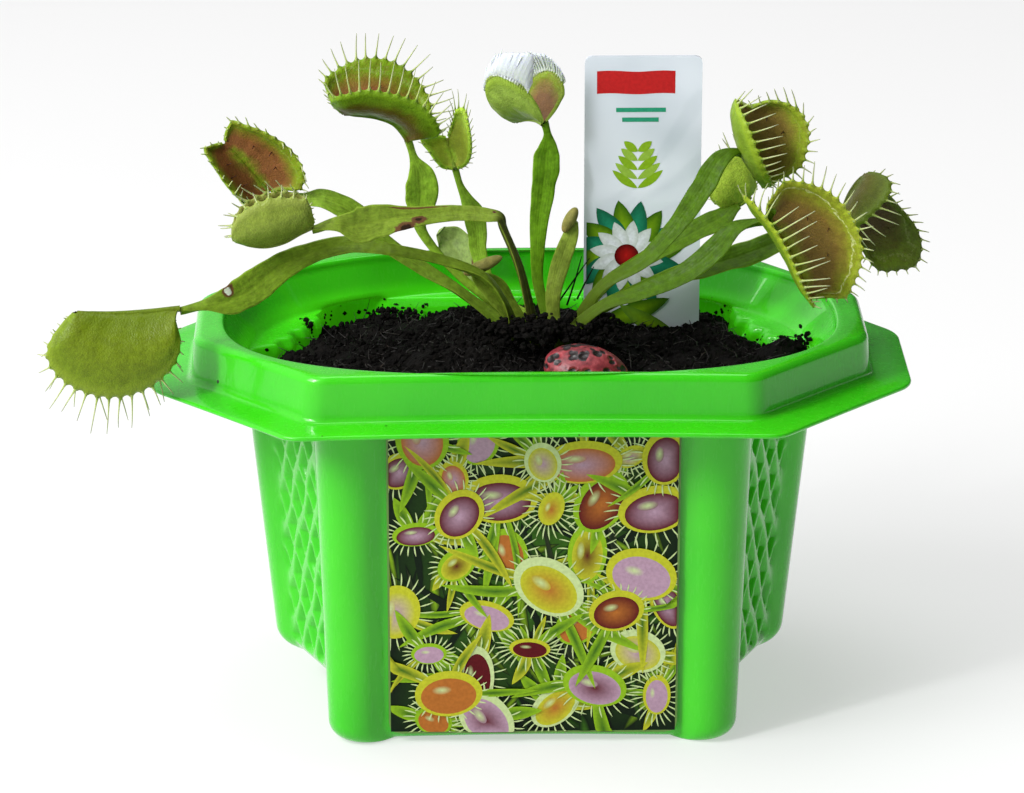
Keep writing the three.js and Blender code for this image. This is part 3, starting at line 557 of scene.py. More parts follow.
# %% A collage of flat shapes
LABEL = dict(half_width=28.1, bottom=2.2, top=67.5)
LABEL_LEAN = math.atan2(NECK["panel_y"] - FOOT["panel_y"], NECK_Z)
LABEL_GAP, LABEL_THICK = 0.3, 0.6
LABEL_FACE = FOOT["panel_y"] + LABEL_GAP + LABEL_THICK
LAYER, LABEL_SHARE, PRINT_LIFT = 0.004, 0.35, 0.02


class Collage:
    """Flat shapes in a plane, each a little in front of the one before."""

    def __init__(self, keep_inside):
        self.points, self.faces, self.tints = [], [], []
        self.keep_inside = keep_inside
        self.layer = 0

    def fan(self, outline, middle, inner, outer, same_layer=False):
        """A shape shaded from its middle to its outline."""
        self.layer += 0 if same_layer else 1
        outline = self.keep_inside(np.asarray(outline, float))
        middle = self.keep_inside(np.asarray([middle], float))[0]
        first = len(self.points)
        self.points += [(*middle, self.layer * LAYER)] + [(*p, self.layer * LAYER) for p in outline]
        self.tints += [(*inner, 1)] + [(*outer, 1)] * len(outline)
        count = len(outline)
        self.faces += [(first, first + 1 + i, first + 1 + (i + 1) % count) for i in range(count)]

    def leaf(self, x, y, length, width, angle, inner, outer, bend=0.25, same_layer=False):
        """A pointed leaf that grows from a point and bends to one side."""
        t = np.linspace(0, 1, 14)
        along, across = t * length, width / 2 * np.sin(np.pi * t) ** 0.8
        curve = bend * length * t * t
        left, right = np.column_stack([along, curve + across]), np.column_stack([along, curve - across])
        c, s = math.cos(angle), math.sin(angle)
        turn = np.array([[c, s], [-s, c]])
        spine = np.array([0.5 * length, bend * length * 0.25]) @ turn + (x, y)
        self.fan(np.concatenate([left, right[::-1]]) @ turn + (x, y), spine, inner, outer, same_layer)

    def oval(self, x, y, rx, ry, angle, inner, outer):
        turn = np.linspace(0, math.tau, 30, endpoint=False)
        c, s = math.cos(angle), math.sin(angle)
        across, along = rx * np.cos(turn), ry * np.sin(turn)
        outline = np.column_stack([x + c * across - s * along, y + s * across + c * along])
        self.fan(outline, (x, y), inner, outer)

    def rays(self, x, y, rx, ry, angle, count, length, width, colour):
        """Thin pale rays that stand out from an oval, all in one layer."""
        c, s = math.cos(angle), math.sin(angle)
        for k in range(count):
            turn = math.tau * k / count
            across, along = rx * math.cos(turn), ry * math.sin(turn)
            out = math.atan2(s * math.cos(turn) + c * math.sin(turn), c * math.cos(turn) - s * math.sin(turn))
            px, py = x + c * across - s * along, y + s * across + c * along
            self.leaf(px, py, length, width, out, colour, colour, 0.15, same_layer=k > 0)


def collage_piece(name, collage, to_frame, material, slot):
    points = to_frame(np.asarray(collage.points))
    return piece(name, points, collage.faces, material, slot, tint=collage.tints, smooth=False)


# %% [markdown]
# Every point of a printed shape carries its own colour, so one finish serves for all the ink: it takes that
# colour and breaks it up with a fine grain.

# %% Finish of printed paper
def print_finish(name, roughness):
    finish = Finish(name, Roughness=roughness, Specular_IOR_Level=0.12)
    grain = finish.span(finish.noise(1600, 2), 0.2, 0.8, 0.80, 1.0)
    colour = finish.blend(1.0, finish.tint(), finish.blend(grain, (0, 0, 0), (1, 1, 1)), "MULTIPLY")
    return finish.done(colour, finish.bump(finish.noise(90, 2), 0.05, 0.4))


PRINT = print_finish("printed_label", 0.42)

# %% [markdown]
# The page is filled from back to front: a dark ground, a tangle of long leaves, four stems, then the flower
# heads, each over a few leaves of its own. Heads dropped quite at random overlapped in heaps, so each new
# one takes the loneliest of twenty guesses.

# %% Inks of the label, and places for its heads
LIME, YELLOW, CREAM = (0.24, 0.44, 0.01), (0.46, 0.48, 0.02), (0.50, 0.62, 0.28)
MOSS, FOREST, STEM = (0.035, 0.12, 0.006), (0.002, 0.009, 0.002), (0.02, 0.03, 0.01)
BLUSH, WINE, LILAC = (0.40, 0.13, 0.02), (0.09, 0.003, 0.006), (0.42, 0.27, 0.36)
LONG_LEAVES, HEADS, STAMENS = 130, 34, 26
STEMS = ((-8, 12, 40), (9, 5, 46), (17, 30, 34), (-19, 8, 30))
MARGIN = 0.4


def inside_label(p):
    x = np.clip(p[:, 0], MARGIN - LABEL["half_width"], LABEL["half_width"] - MARGIN)
    return np.column_stack([x, np.clip(p[:, 1], LABEL["bottom"] + MARGIN, LABEL["top"] - MARGIN)])


def spread_out(count, low, high, draw):
    """Random places that keep away from each other: of twenty guesses the loneliest is taken."""
    places = [draw.uniform(low, high)]
    while len(places) < count:
        guesses = draw.uniform(low, high, (20, 2))
        gaps = np.linalg.norm(guesses[:, None] - np.array(places)[None], axis=2).min(axis=1)
        places.append(guesses[gaps.argmax()])
    return places


# %% Draw the label
def draw_label():
    draw = np.random.default_rng(21)
    page = Collage(inside_label)
    wide, low, high = LABEL["half_width"], LABEL["bottom"], LABEL["top"]
    page.fan([(-wide, low), (wide, low), (wide, high), (-wide, high)], (0, (low + high) / 2), MOSS, FOREST)
    for _ in range(LONG_LEAVES):
        x, y, long = draw.uniform(-wide, wide), draw.uniform(low - 6, high), draw.uniform(8, 24)
        width, angle = draw.uniform(0.8, 2.6), draw.uniform(0.2, 2.9)
        shade = [MOSS, LIME, FOREST, FOREST][draw.integers(4)]
        page.leaf(x, y, long, width, angle, shade, FOREST, draw.uniform(-0.3, 0.3))
    for x, y, long in STEMS:
        page.leaf(x, y, long, 1.3, math.pi / 2 + 0.1, FOREST, STEM, 0.08)
    for x, y in spread_out(HEADS, (-wide + 1, low + 2), (wide - 1, high - 2), draw):
        tall = draw.uniform(3.0, 8.0)
        flat = tall * draw.uniform(0.5, 0.85)
        angle = draw.uniform(0, math.pi)
        for _ in range(draw.integers(2, 5)):
            shade = LIME if draw.random() < 0.6 else YELLOW
            long, width = tall * draw.uniform(1.6, 3.4), draw.uniform(1.2, 3.0)
            way = draw.uniform(0, math.tau)
            page.leaf(x, y, long, width, way, MOSS, shade, draw.uniform(-0.3, 0.3))
        rim = [LIME, YELLOW, YELLOW, CREAM][draw.integers(4)]
        head = [BLUSH, YELLOW, LILAC, YELLOW, WINE][draw.integers(5)]
        middle = [WINE, LILAC, BLUSH, LILAC][draw.integers(4)]
        page.rays(x, y, tall * 0.93, flat * 0.93, angle, STAMENS, draw.uniform(1.6, 3.4), 0.30, CREAM)
        page.oval(x, y, tall, flat, angle, rim, rim)
        page.oval(x, y - 0.08 * tall, tall * 0.82, flat * 0.78, angle, middle, head)
        gleam = mix(np.array(head), np.array(middle), 0.4)
        page.oval(x - 0.2 * tall, y + 0.15 * flat, tall * 0.3, flat * 0.2, angle, CREAM, gleam)
    return page


# %% [markdown]
# The page lies flat so far. The front panel leans outwards with height, so the page is turned by the same
# lean and set just in front of the sticker. An image on the sticker would be the usual way, but it would
# need a picture file, and shapes stay sharp however near the camera comes.

# %% Lay the label on the panel
def label_frame(p):
    """From the label's own plane to the leaning front panel."""
    up = p[:, 1]
    out = LABEL_FACE + PRINT_LIFT + p[:, 2] * LABEL_SHARE
    c, s = math.cos(LABEL_LEAN), math.sin(LABEL_LEAN)
    return np.column_stack([p[:, 0], -out - up * s, up * c])


collage_piece("label_print", draw_label(), label_frame, PRINT, "label")


def paper_finish(name, colour, roughness):
    finish = Finish(name, Roughness=roughness)
    shade = finish.ramp(finish.noise(220, 3), [(0.3, tuple(0.93 * c for c in colour)), (0.7, colour)])
    return finish.done(shade, finish.bump(finish.noise(80, 2), 0.04, 0.4))


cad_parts["front_label"].data.materials.clear()
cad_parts["front_label"].data.materials.append(paper_finish("label_paper", (0.10, 0.22, 0.03), 0.45))

# %% [markdown]
# ## The tag
# A stiff glossy card with rounded corners stands in the peat behind the leaves. It has a plain red bar near
# its top; below it come two thin bars, a sprig, and a flower with its leaves, drawn as on the label.

# %% Draw the tag
TAG = dict(left=11.0, right=34.1, bottom=60.0, top=125.5, y=17.0, thick=0.8)
RED, SEA, DEEP_SEA = (0.50, 0.012, 0.012), (0.02, 0.30, 0.16), (0.01, 0.12, 0.06)
WHITE, GREY, FRESH, DARK_LIME = (0.86, 0.90, 0.96), (0.60, 0.66, 0.62), (0.30, 0.50, 0.05), (0.10, 0.22, 0.02)
ROSETTE = (19.5, 84.5)


def inside_tag(p):
    x = np.clip(p[:, 0], TAG["left"] + 0.5, TAG["right"] - 0.5)
    return np.column_stack([x, np.clip(p[:, 1], TAG["bottom"] + 1, TAG["top"] - 0.6)])


def draw_tag():
    page = Collage(inside_tag)
    middle = (TAG["left"] + TAG["right"]) / 2

    def bar(x0, x1, y, height, colour, ripple=0.0):
        x = np.linspace(x0, x1, 14)
        wave = ripple * np.sin((x - x0) * 0.6)
        above = np.column_stack([x, y + wave + height / 2])
        below = np.column_stack([x, y + wave - height / 2])
        page.fan(np.concatenate([above, below[::-1]]), ((x0 + x1) / 2, y), colour, colour)

    bar(13.4, 28.8, 120.2, 4.6, RED, 0.12)
    bar(17.2, 27.0, 114.6, 0.9, SEA)
    bar(18.4, 25.6, 112.6, 0.9, SEA)
    for k in range(5):
        shade = FRESH if k % 2 else LIME
        for side in (-1, 1):
            way = math.pi / 2 - side * 1.05
            page.leaf(middle - 1, 98.5 + 1.9 * k, 6.2 - 0.7 * k, 1.7, way, shade, shade, side * 0.12)
    for k in range(16):
        inner, outer = (SEA, DEEP_SEA) if k % 2 else (LIME, MOSS)
        page.leaf(*ROSETTE, 11.5, 4.4, math.tau * k / 16, inner, outer, 0.15)
    for k in range(12):
        page.leaf(*ROSETTE, 7.4, 3.0, math.tau * (k + 0.5) / 12, WHITE, GREY, 0.08)
    page.oval(*ROSETTE, 2.4, 2.4, 0, RED, WINE)
    page.leaf(13, 70, 16, 4.2, 0.25, LIME, MOSS, 0.1)
    page.leaf(31, 66.5, 15, 3.6, 2.7, LIME, DARK_LIME, -0.1)
    return page


# %% [markdown]
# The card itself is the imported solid. It only needs a finish: nearly white, smooth, with a clear coat that
# mirrors the window.

# %% Finish the card and lay its print on it
def tag_frame(p):
    return np.column_stack([p[:, 0], TAG["y"] - TAG["thick"] - PRINT_LIFT - p[:, 2], p[:, 1]])


def card_finish():
    finish = Finish("tag_card", Roughness=0.12, Coat_Weight=0.6, Coat_Roughness=0.05)
    shade = finish.ramp(finish.noise(35, 2), [(0.35, (0.50, 0.56, 0.62)), (0.62, (0.74, 0.79, 0.86))])
    return finish.done(shade, finish.bump(finish.noise(30, 1), 0.25, 0.5))


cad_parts["plant_tag"].data.materials.clear()
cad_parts["plant_tag"].data.materials.append(card_finish())
collage_piece("tag_print", draw_tag(), tag_frame, print_finish("printed_tag", 0.2), "tag_plastic")

# %% [markdown]
# ## The stone
# A river pebble painted pink, with black pits. I start from a round ball, squash it, and roughen it with
# waves; the pits are too many to model, so cells in the finish colour them and press them in.

# %% Stone and its finish
PEBBLE = dict(x=10.5, y=-19.0, z=72.4, rx=8.6, ry=6.2, rz=5.2, turn=0.25)


def ball(rows, columns):
    """Points of a unit ball on parallels and meridians, and its quads."""
    lift = np.linspace(-math.pi / 2 + 0.02, math.pi / 2 - 0.02, rows)[:, None]
    turn = np.linspace(0, math.tau, columns, endpoint=False)[None, :]
    xyz = np.stack([np.cos(lift) * np.cos(turn), np.cos(lift) * np.sin(turn), np.sin(lift) + 0 * turn], -1)
    faces = [list(f) for f in grid_faces(rows, columns, closed=True)]
    faces += [list(range(columns))[::-1], [(rows - 1) * columns + i for i in range(columns)]]
    return xyz.reshape(-1, 3), faces


def stone_finish():
    finish = Finish("pink_stone", Roughness=0.45)
    pink = finish.ramp(finish.noise(650, 4, 0.65), [
        (0.3, (0.06, 0.005, 0.008)), (0.5, (0.20, 0.018, 0.026)),
        (0.66, (0.32, 0.05, 0.06)), (0.82, (0.60, 0.36, 0.36)),
    ])
    flattened = {0: finish.place(), 1: (1.0, 1.0, 1.5)}
    flattened = finish.node("ShaderNodeVectorMath", flattened, operation="MULTIPLY").outputs[0]
    pits = finish.cells(430, vector=flattened)
    size = finish.span(finish.noise(330, 2), 0.35, 0.65, 0.18, 0.56)
    black = finish.math("LESS_THAN", pits, size)
    colour = finish.blend(black, pink, (0.012, 0.006, 0.008))
    dents = finish.bump(finish.span(pits, 0.1, 0.5), 0.5, 0.8)
    return finish.done(colour, finish.bump(finish.noise(1500, 3), 0.1, 0.5, dents))


unit_ball, ball_faces = ball(60, 96)
rough = 1 + 0.02 * wavy(unit_ball[:, 0] * 3, unit_ball[:, 1] * 3 + unit_ball[:, 2] * 2, 5)[:, None]
stone = unit_ball * rough * (PEBBLE["rx"], PEBBLE["ry"], PEBBLE["rz"])
c, s = math.cos(PEBBLE["turn"]), math.sin(PEBBLE["turn"])
stone = stone @ np.array([[c, 0, -s], [0, 1, 0], [s, 0, c]]) + (PEBBLE["x"], PEBBLE["y"], PEBBLE["z"])
piece("pebble_stone", stone, ball_faces, stone_finish(), "pebble", ["pebble"])

# %% [markdown]
# ## The peat
# Moist peat is nearly black and made of torn fibres and crumbs. A height map alone looks like tar, so the
# mound is only the bed. Crumbs and fibres are laid on it at the end, when the leaves stand.

# %% The bed of peat
SOIL = dict(level=69.2, mound=5.6, size=13, x=2, y=0)
LUMP = dict(x=50.5, y=3, height=5.5, size=2.6)
HOLLOW = dict(x=-34, y=24, depth=2.5, size=9)


def bell(x, y, size):
    return np.exp(-(x * x + y * y) / (2 * size * size))


def soil_height(x, y):
    z = SOIL["level"] + SOIL["mound"] * bell(x - SOIL["x"], y - SOIL["y"], SOIL["size"])
    z = z + 0.45 * np.sin(0.21 * x + 0.34 * y + 0.4) + 0.35 * np.sin(-0.37 * x + 0.27 * y + 2.1)
    z = z + 0.25 * np.sin(0.61 * x + 0.52 * y + 4)
    z = z + LUMP["height"] * bell(x - LUMP["x"], y - LUMP["y"], LUMP["size"])
    return z - HOLLOW["depth"] * bell(x - HOLLOW["x"], y - HOLLOW["y"], HOLLOW["size"])


def peat_finish():
    finish = Finish("dark_peat", Roughness=0.8, Specular_IOR_Level=0.12)
    shade = finish.noise(700, 6, 0.7)
    colour = finish.ramp(shade, [
        (0.35, (0.001, 0.0008, 0.0007)), (0.6, (0.0035, 0.0024, 0.0017)), (0.8, (0.013, 0.009, 0.006)),
    ])
    return finish.done(colour, finish.bump(finish.noise(1400, 5, 0.7), 0.8, 1.0))


PEAT = peat_finish()
WALL_DROP = 3.6
edge_radius = body_radius(COS, SIN, np.full(COS.shape, SOIL["level"] - WALL_DROP)) - WALL - 0.15


def bed_height(x, y):
    """Height of the bed, which sinks where it meets the wall."""
    edge = np.interp(np.arctan2(y, x), ANGLES, edge_radius, period=math.tau)
    return soil_height(x, y) - WALL_DROP * smoothstep(0.84, 1.0, np.hypot(x, y) / edge)


bed = []
SOIL_RINGS = 110
for k in range(SOIL_RINGS):
    share = 1 - k / SOIL_RINGS
    x, y = COS * edge_radius * share, SIN * edge_radius * share
    z = bed_height(x, y) + 0.32 * wavy(x, y, 3, 0.7) + 0.2 * wavy(x, y, 4, 0.28)
    bed.append(np.column_stack([x, y, z]))
skirt = np.column_stack([COS * (edge_radius - 2), SIN * (edge_radius - 2), bed[0][:, 2] - 3])
bed_points = np.concatenate([skirt, *bed])
piece("peat_bed", bed_points, grid_faces(SOIL_RINGS + 1, len(ANGLES), closed=True), PEAT, "peat", ["soil"])

# %% [markdown]
# ## How a leaf is built
# A leaf is a flat stalk that widens into a blade, then narrows to a neck that carries the trap. Blades
# are swept: a spine through a few listed stops, with a width and a facing at each. The section has a
# midrib below, thin margins and a shallow fold, and the margins wave, more so towards the edge.

# %% Sweep a blade
STEM_BOTTOM, STEM_TOP = 66, 73
STATIONS_PER_MM, ACROSS = 1.6, 15
WAVE, FOLD, RAGGED, THINNEST = 0.35, 0.22, 0.06, 0.45


def spline(stops, count):
    """Points on a centripetal curve through the stops; every column of the stops follows it."""
    stops = np.asarray(stops, float)
    knots = np.concatenate([[0], np.cumsum(np.linalg.norm(np.diff(stops[:, :3], axis=0), axis=1) ** 0.5)])
    before = 2 * stops[0] - stops[1]
    after = 2 * stops[-1] - stops[-2]
    p = np.vstack([before, stops, after])
    t = np.concatenate([[2 * knots[0] - knots[1]], knots, [2 * knots[-1] - knots[-2]]])
    u = np.linspace(knots[0], knots[-1], count)
    i = np.clip(np.searchsorted(knots, u, side="right"), 1, len(knots) - 1)
    t0, t1, t2, t3 = (t[i - 1 + k][:, None] for k in range(4))
    p0, p1, p2, p3 = (p[i - 1 + k] for k in range(4))
    u = u[:, None]
    a1 = (t1 - u) / (t1 - t0) * p0 + (u - t0) / (t1 - t0) * p1
    a2 = (t2 - u) / (t2 - t1) * p1 + (u - t1) / (t2 - t1) * p2
    a3 = (t3 - u) / (t3 - t2) * p2 + (u - t2) / (t3 - t2) * p3
    b1 = (t2 - u) / (t2 - t0) * a1 + (u - t0) / (t2 - t0) * a2
    b2 = (t3 - u) / (t3 - t1) * a2 + (u - t1) / (t3 - t1) * a3
    return (t2 - u) / (t2 - t1) * b1 + (u - t1) / (t2 - t1) * b2


def sweep(stops, seed):
    """Points, faces and (across, along) of a blade through stops of x, y, z, half width and facing."""
    length = np.linalg.norm(np.diff(np.asarray(stops)[:, :3], axis=0), axis=1).sum()
    rows = int(length * STATIONS_PER_MM)
    line = spline(stops, rows)
    centre, half, facing = line[:, :3], np.maximum(line[:, 3], THINNEST), unit(line[:, 4:7])
    ahead = unit(np.gradient(centre, axis=0))
    side = unit(np.cross(facing, ahead))
    over = unit(np.cross(ahead, side))
    run = np.linspace(0, length, rows)[:, None]
    s = np.linspace(-1, 1, ACROSS)[None, :]
    leafy = smoothstep(1.2, 2.6, half)[:, None]
    draw = np.random.default_rng(seed)
    beat = wavy(run * 0.9, np.sign(s) * 40 + seed, seed, 1.3)
    ragged = 1 + RAGGED * leafy * wavy(run * 1.1, np.sign(s) * 90, seed + 50, 1.0)
    width = half[:, None] * np.where(np.abs(s) > 0.05, ragged, 1)
    lift = FOLD * np.maximum(half[:, None] - 1, 0) * np.abs(s) ** 1.4 + WAVE * leafy * beat * np.abs(s) ** 2.2
    rib = np.exp(-(s * half[:, None] / 0.55) ** 2)
    stalk = 1 - leafy
    top = lift + 0.16 + 0.16 * stalk * (1 - s * s) - 0.12 * rib * leafy
    bottom = lift - 0.14 - 0.62 * rib - 0.5 * stalk * np.sqrt(1 - np.minimum(s * s, 1))
    rim = 1 - 0.6 * np.abs(s) ** 6
    middle = (top + bottom) / 2
    top, bottom = middle + (top - middle) * rim, middle + (bottom - middle) * rim
    spread = centre[:, None] + side[:, None] * (width * s)[..., None]
    upper = spread + over[:, None] * top[..., None]
    lower = spread[:, ::-1] + over[:, None] * bottom[:, ::-1][..., None]
    points = np.concatenate([upper, lower], axis=1)
    columns = 2 * ACROSS
    along = np.repeat(run / length, columns, axis=1)
    across = np.concatenate([np.repeat(s, rows, 0), np.repeat(s[:, ::-1], rows, 0)], axis=1)
    faces = [list(f) for f in grid_faces(rows, columns, closed=True)]
    faces += [list(range(columns)), [(rows - 1) * columns + i for i in range(columns)][::-1]]
    return points.reshape(-1, 3), faces, np.column_stack([across.ravel() / 2 + 0.5, along.ravel()])


# %% [markdown]
# ## How a trap is built
# A trap is two cupped lobes on a hinge. I first tried a formula for the outline, a flattened half wave,
# but no two traps here are alike, so a lobe is now a skin between two drawn curves: t runs along the hinge
# and the margin together, q from one to the other, and a swell cups it. The margin is scalloped, and a
# tooth-like cilium rises from each point of the scallops.

# %% Curves of a trap
TOOTH_PITCH = 1.85
SIDES = ("near", "far")


def knots_of(points):
    steps = np.linalg.norm(np.diff(points, axis=0), axis=1)
    return np.concatenate([[0], np.cumsum(steps)]) / steps.sum()


def curve(points, t, knots=None):
    """Places at t, from 0 to 1, on a smooth curve through the points."""
    points = np.asarray(points, float)
    knots = knots_of(points) if knots is None else knots
    slopes = np.gradient(points, knots, axis=0)
    i = np.clip(np.searchsorted(knots, t, side="right") - 1, 0, len(knots) - 2)
    gap = (knots[i + 1] - knots[i])[..., None]
    s = (t - knots[i])[..., None] / gap
    a, b, slope_a, slope_b = points[i], points[i + 1], slopes[i] * gap, slopes[i + 1] * gap
    square, cube = 3 * (b - a) - 2 * slope_a - slope_b, 2 * (a - b) + slope_a + slope_b
    return a + s * slope_a + s ** 2 * square + s ** 3 * cube


def set_outward(trap):
    """Give both lobes the direction that they swell in, away from each other, and a number of teeth."""
    hinge = np.array(trap["hinge"])
    middles = {side: np.mean(trap[side]["margin"], axis=0) for side in SIDES}
    for side, other in (SIDES, SIDES[::-1]):
        out = unit(np.cross(hinge[-1] - hinge[0], middles[side] - hinge.mean(axis=0)))
        trap[side]["outward"] = out * np.sign(out.dot(middles[side] - middles[other]))
        length = np.linalg.norm(np.diff(trap[side]["margin"], axis=0), axis=1).sum()
        trap[side]["count"] = int(length / trap[side].get("pitch", TOOTH_PITCH))


# %% [markdown]
# A cupped lobe could be a patch of a ball, but a ball doesn't meet a bent hinge. A swell that is a sine of
# t and q is nothing along the hinge and at both ends, whatever the curves are, and fullest half-way up.

# %% Points and normals of a lobe
def lobe_point(trap, side, t, q):
    """Where a place on a lobe is. t and q are arrays from 0 to 1."""
    one = trap[side]
    root, edge = curve(trap["hinge"], t), curve(one["margin"], t)
    swell = one["bulge"] * np.sin(np.pi * 0.93 * q) * np.sin(np.pi * np.clip(t, 0.01, 0.99)) ** 0.6
    return root + (edge - root) * q[..., None] + swell[..., None] * one["outward"]


def lobe_normal(trap, side, t, q):
    step = 0.012
    t, q = np.clip(t, 0.03, 0.97), np.clip(q, 0.03, None)
    du = lobe_point(trap, side, t + step, q) - lobe_point(trap, side, t - step, q)
    dv = lobe_point(trap, side, t, q + step) - lobe_point(trap, side, t, q - step)
    normal = unit(np.cross(du, dv))
    return normal * np.sign((normal @ trap[side]["outward"]).mean())


# %% [markdown]
# A lobe is half a millimetre thick. A solidify modifier could give that, but its rim would be a plain edge;
# here both skins and the rim are one closed grid, so the margin can swell into teeth, and a tint tells the
# finish which skin it is on.

# %% Skin of a lobe
LOBE_COLUMNS = 24
ROWS_PER_TOOTH = 6
LOBE_THICK = 0.55
TOOTH = 0.045


def turned_out(points, faces):
    """The faces in the order that makes their normals point out of the body."""
    volume = 0
    for face in faces:
        a, b, c = points[face[0]], points[face[1]], points[face[2]]
        volume += np.dot(a, np.cross(b, c))
        if len(face) == 4:
            volume += np.dot(a, np.cross(c, points[face[3]]))
    return [face[::-1] for face in faces] if volume < 0 else faces


def lobe(trap, side):
    """Inner and outer skin of a lobe as one closed grid: q runs up the inside and back down the outside."""
    teeth = trap[side]["count"]
    rows, columns = teeth * ROWS_PER_TOOTH + 1, 2 * LOBE_COLUMNS
    up = np.linspace(0, 1, LOBE_COLUMNS) ** 0.8
    q = np.concatenate([up, up[::-1]])[None, :]
    face = np.concatenate([-np.ones(LOBE_COLUMNS), np.ones(LOBE_COLUMNS)])[None, :]
    t = np.linspace(0, 1, rows)[:, None]
    scallop = (np.abs(np.sin(np.pi * t * teeth)) ** 3 - 0.3) * smoothstep(0.8, 1.0, q)
    qq = np.broadcast_to(q * (1 + trap[side].get("tooth", TOOTH) * scallop), (rows, columns))
    tt = np.broadcast_to(t, qq.shape)
    rim = smoothstep(0.80, 0.92, q) * (1 - smoothstep(0.93, 1.0, q))
    thick = LOBE_THICK * (0.75 + 0.7 * rim - 0.5 * smoothstep(0.95, 1, q))
    thick = thick + 0.5 * (1 - smoothstep(0.0, 0.12, q))
    ripple = 0.06 * wavy(tt * 30, qq * 12, 1)
    normal = lobe_normal(trap, side, tt, qq)
    points = lobe_point(trap, side, tt, qq) + normal * (face * thick / 2 + ripple)[..., None]
    points = points.reshape(-1, 3)
    faces = [list(f) for f in grid_faces(rows, columns, closed=True)]
    faces = turned_out(points, faces)
    inside = np.broadcast_to(np.where(face < 0, 1.0, 0.0), qq.shape).ravel()
    tint = np.column_stack([inside, np.zeros(inside.size), tt.ravel(), np.ones(inside.size)])
    return points, faces, np.column_stack([qq.ravel(), tt.ravel()]), tint


# %% [markdown]
# On the real plant the midrib runs on under the hinge as a keel. A tube along the hinge, pushed a little
# out between the lobes, gives it, and hides the seam where the two lobes meet.

# %% Keel under the hinge
def keel(trap, radius=0.62, rows=40, columns=10):
    """The midrib along the outside of the hinge, as a tube in the colour of the outside."""
    t = np.linspace(0, 1, rows)
    line = curve(trap["hinge"], t) + (trap["near"]["outward"] + trap["far"]["outward"]) * 0.12
    ahead = unit(np.gradient(line, axis=0))
    aside = unit(np.cross(ahead, trap["near"]["outward"]))
    over = np.cross(ahead, aside)
    turn = np.linspace(0, math.tau, columns, endpoint=False)
    width = (radius * (1 - 0.35 * t) * np.minimum(1, 6 * (1.03 - t)))[:, None, None]
    spokes = aside[:, None] * np.cos(turn)[:, None] + over[:, None] * np.sin(turn)[:, None]
    points = (line[:, None] + spokes * width).reshape(-1, 3)
    faces = turned_out(points, [list(f) for f in grid_faces(rows, columns, closed=True)])
    place = np.column_stack([np.full(len(points), 0.02), np.repeat(t, columns)])
    return points, faces, place, np.column_stack([np.zeros((len(points), 3)), np.ones(len(points))])


# %% [markdown]
# Cilia, trigger hairs and fibres are thin tapered tubes. A hair system would grow them at random, but a
# cilium belongs to one tooth, so each tube is placed by itself, and many become one mesh.

# %% Tapered hairs
def hairs(roots, ways, lengths, thickness, bends, sides=5, steps=7, flare=2.2):
    """Tapered curved hairs as one mesh. bends is how far the tip is drawn aside, as a vector."""
    points, faces, uv = [], [], []
    s = np.linspace(0, 1, steps)[:, None]
    turn = np.linspace(0, math.tau, sides, endpoint=False)
    for root, way, length, bend in zip(roots, ways, lengths, bends):
        way = unit(way)
        aside = unit(np.cross(way, [0.31, 0.22, 0.92]))
        other = np.cross(way, aside)
        line = root + way * length * s + bend * s * s
        radius = thickness * ((1 - s) ** 0.6 * 0.65 + 0.35) * (1 + (flare - 1) * np.exp(-s / 0.09))
        ring_ = aside * np.cos(turn)[:, None] + other * np.sin(turn)[:, None]
        body = line[:, None] + ring_[None] * radius[..., None]
        first = len(points)
        points += list(body.reshape(-1, 3))
        uv += [(0.5, v) for v in np.repeat(s.ravel(), sides)]
        faces += [list(f) for f in grid_faces(steps, sides, closed=True, first=first)]
        faces.append([first + (steps - 1) * sides + k for k in range(sides)])
    return np.array(points), faces, np.array(uv)


# %% [markdown]
# One cilium grows from each tooth of the margin towards the curve of the tips, a little longer or shorter
# than its neighbours and a little askew, because an even row looks like a comb. One trap is so young that
# its white cilia still hold together; two ribbed sheets stand for them.

# %% Cilia and trigger hairs of a lobe
CILIUM_CURL = 0.12
WEB_SHADES = (0, 0.1, 0.3, 0.5, 0.7, 0.9, 1)


def fringe(trap, side, draw):
    """Roots, directions, lengths and bends of the cilia of one lobe, from its margin to its tips."""
    one = trap[side]
    t = (np.arange(one["count"]) + 0.5) / one["count"]
    root = lobe_point(trap, side, t, np.full(t.shape, 0.99))
    tip = curve(one["tips"], t, knots_of(one["margin"]))
    reach = np.linalg.norm(tip - root, axis=1)
    tip = root + (tip - root) * draw.uniform(0.86, 1.06, t.size)[:, None]
    tip = tip + draw.normal(0, 0.05, tip.shape) * reach[:, None]
    bend = -one["outward"] * (CILIUM_CURL * reach)[:, None]
    bend = bend + draw.normal(0, 0.04, tip.shape) * reach[:, None]
    straight = tip - root - bend
    long_enough = reach > trap.get("shortest", 0)
    root, straight, bend = root[long_enough], straight[long_enough], bend[long_enough]
    return root, straight, np.linalg.norm(straight, axis=1), bend


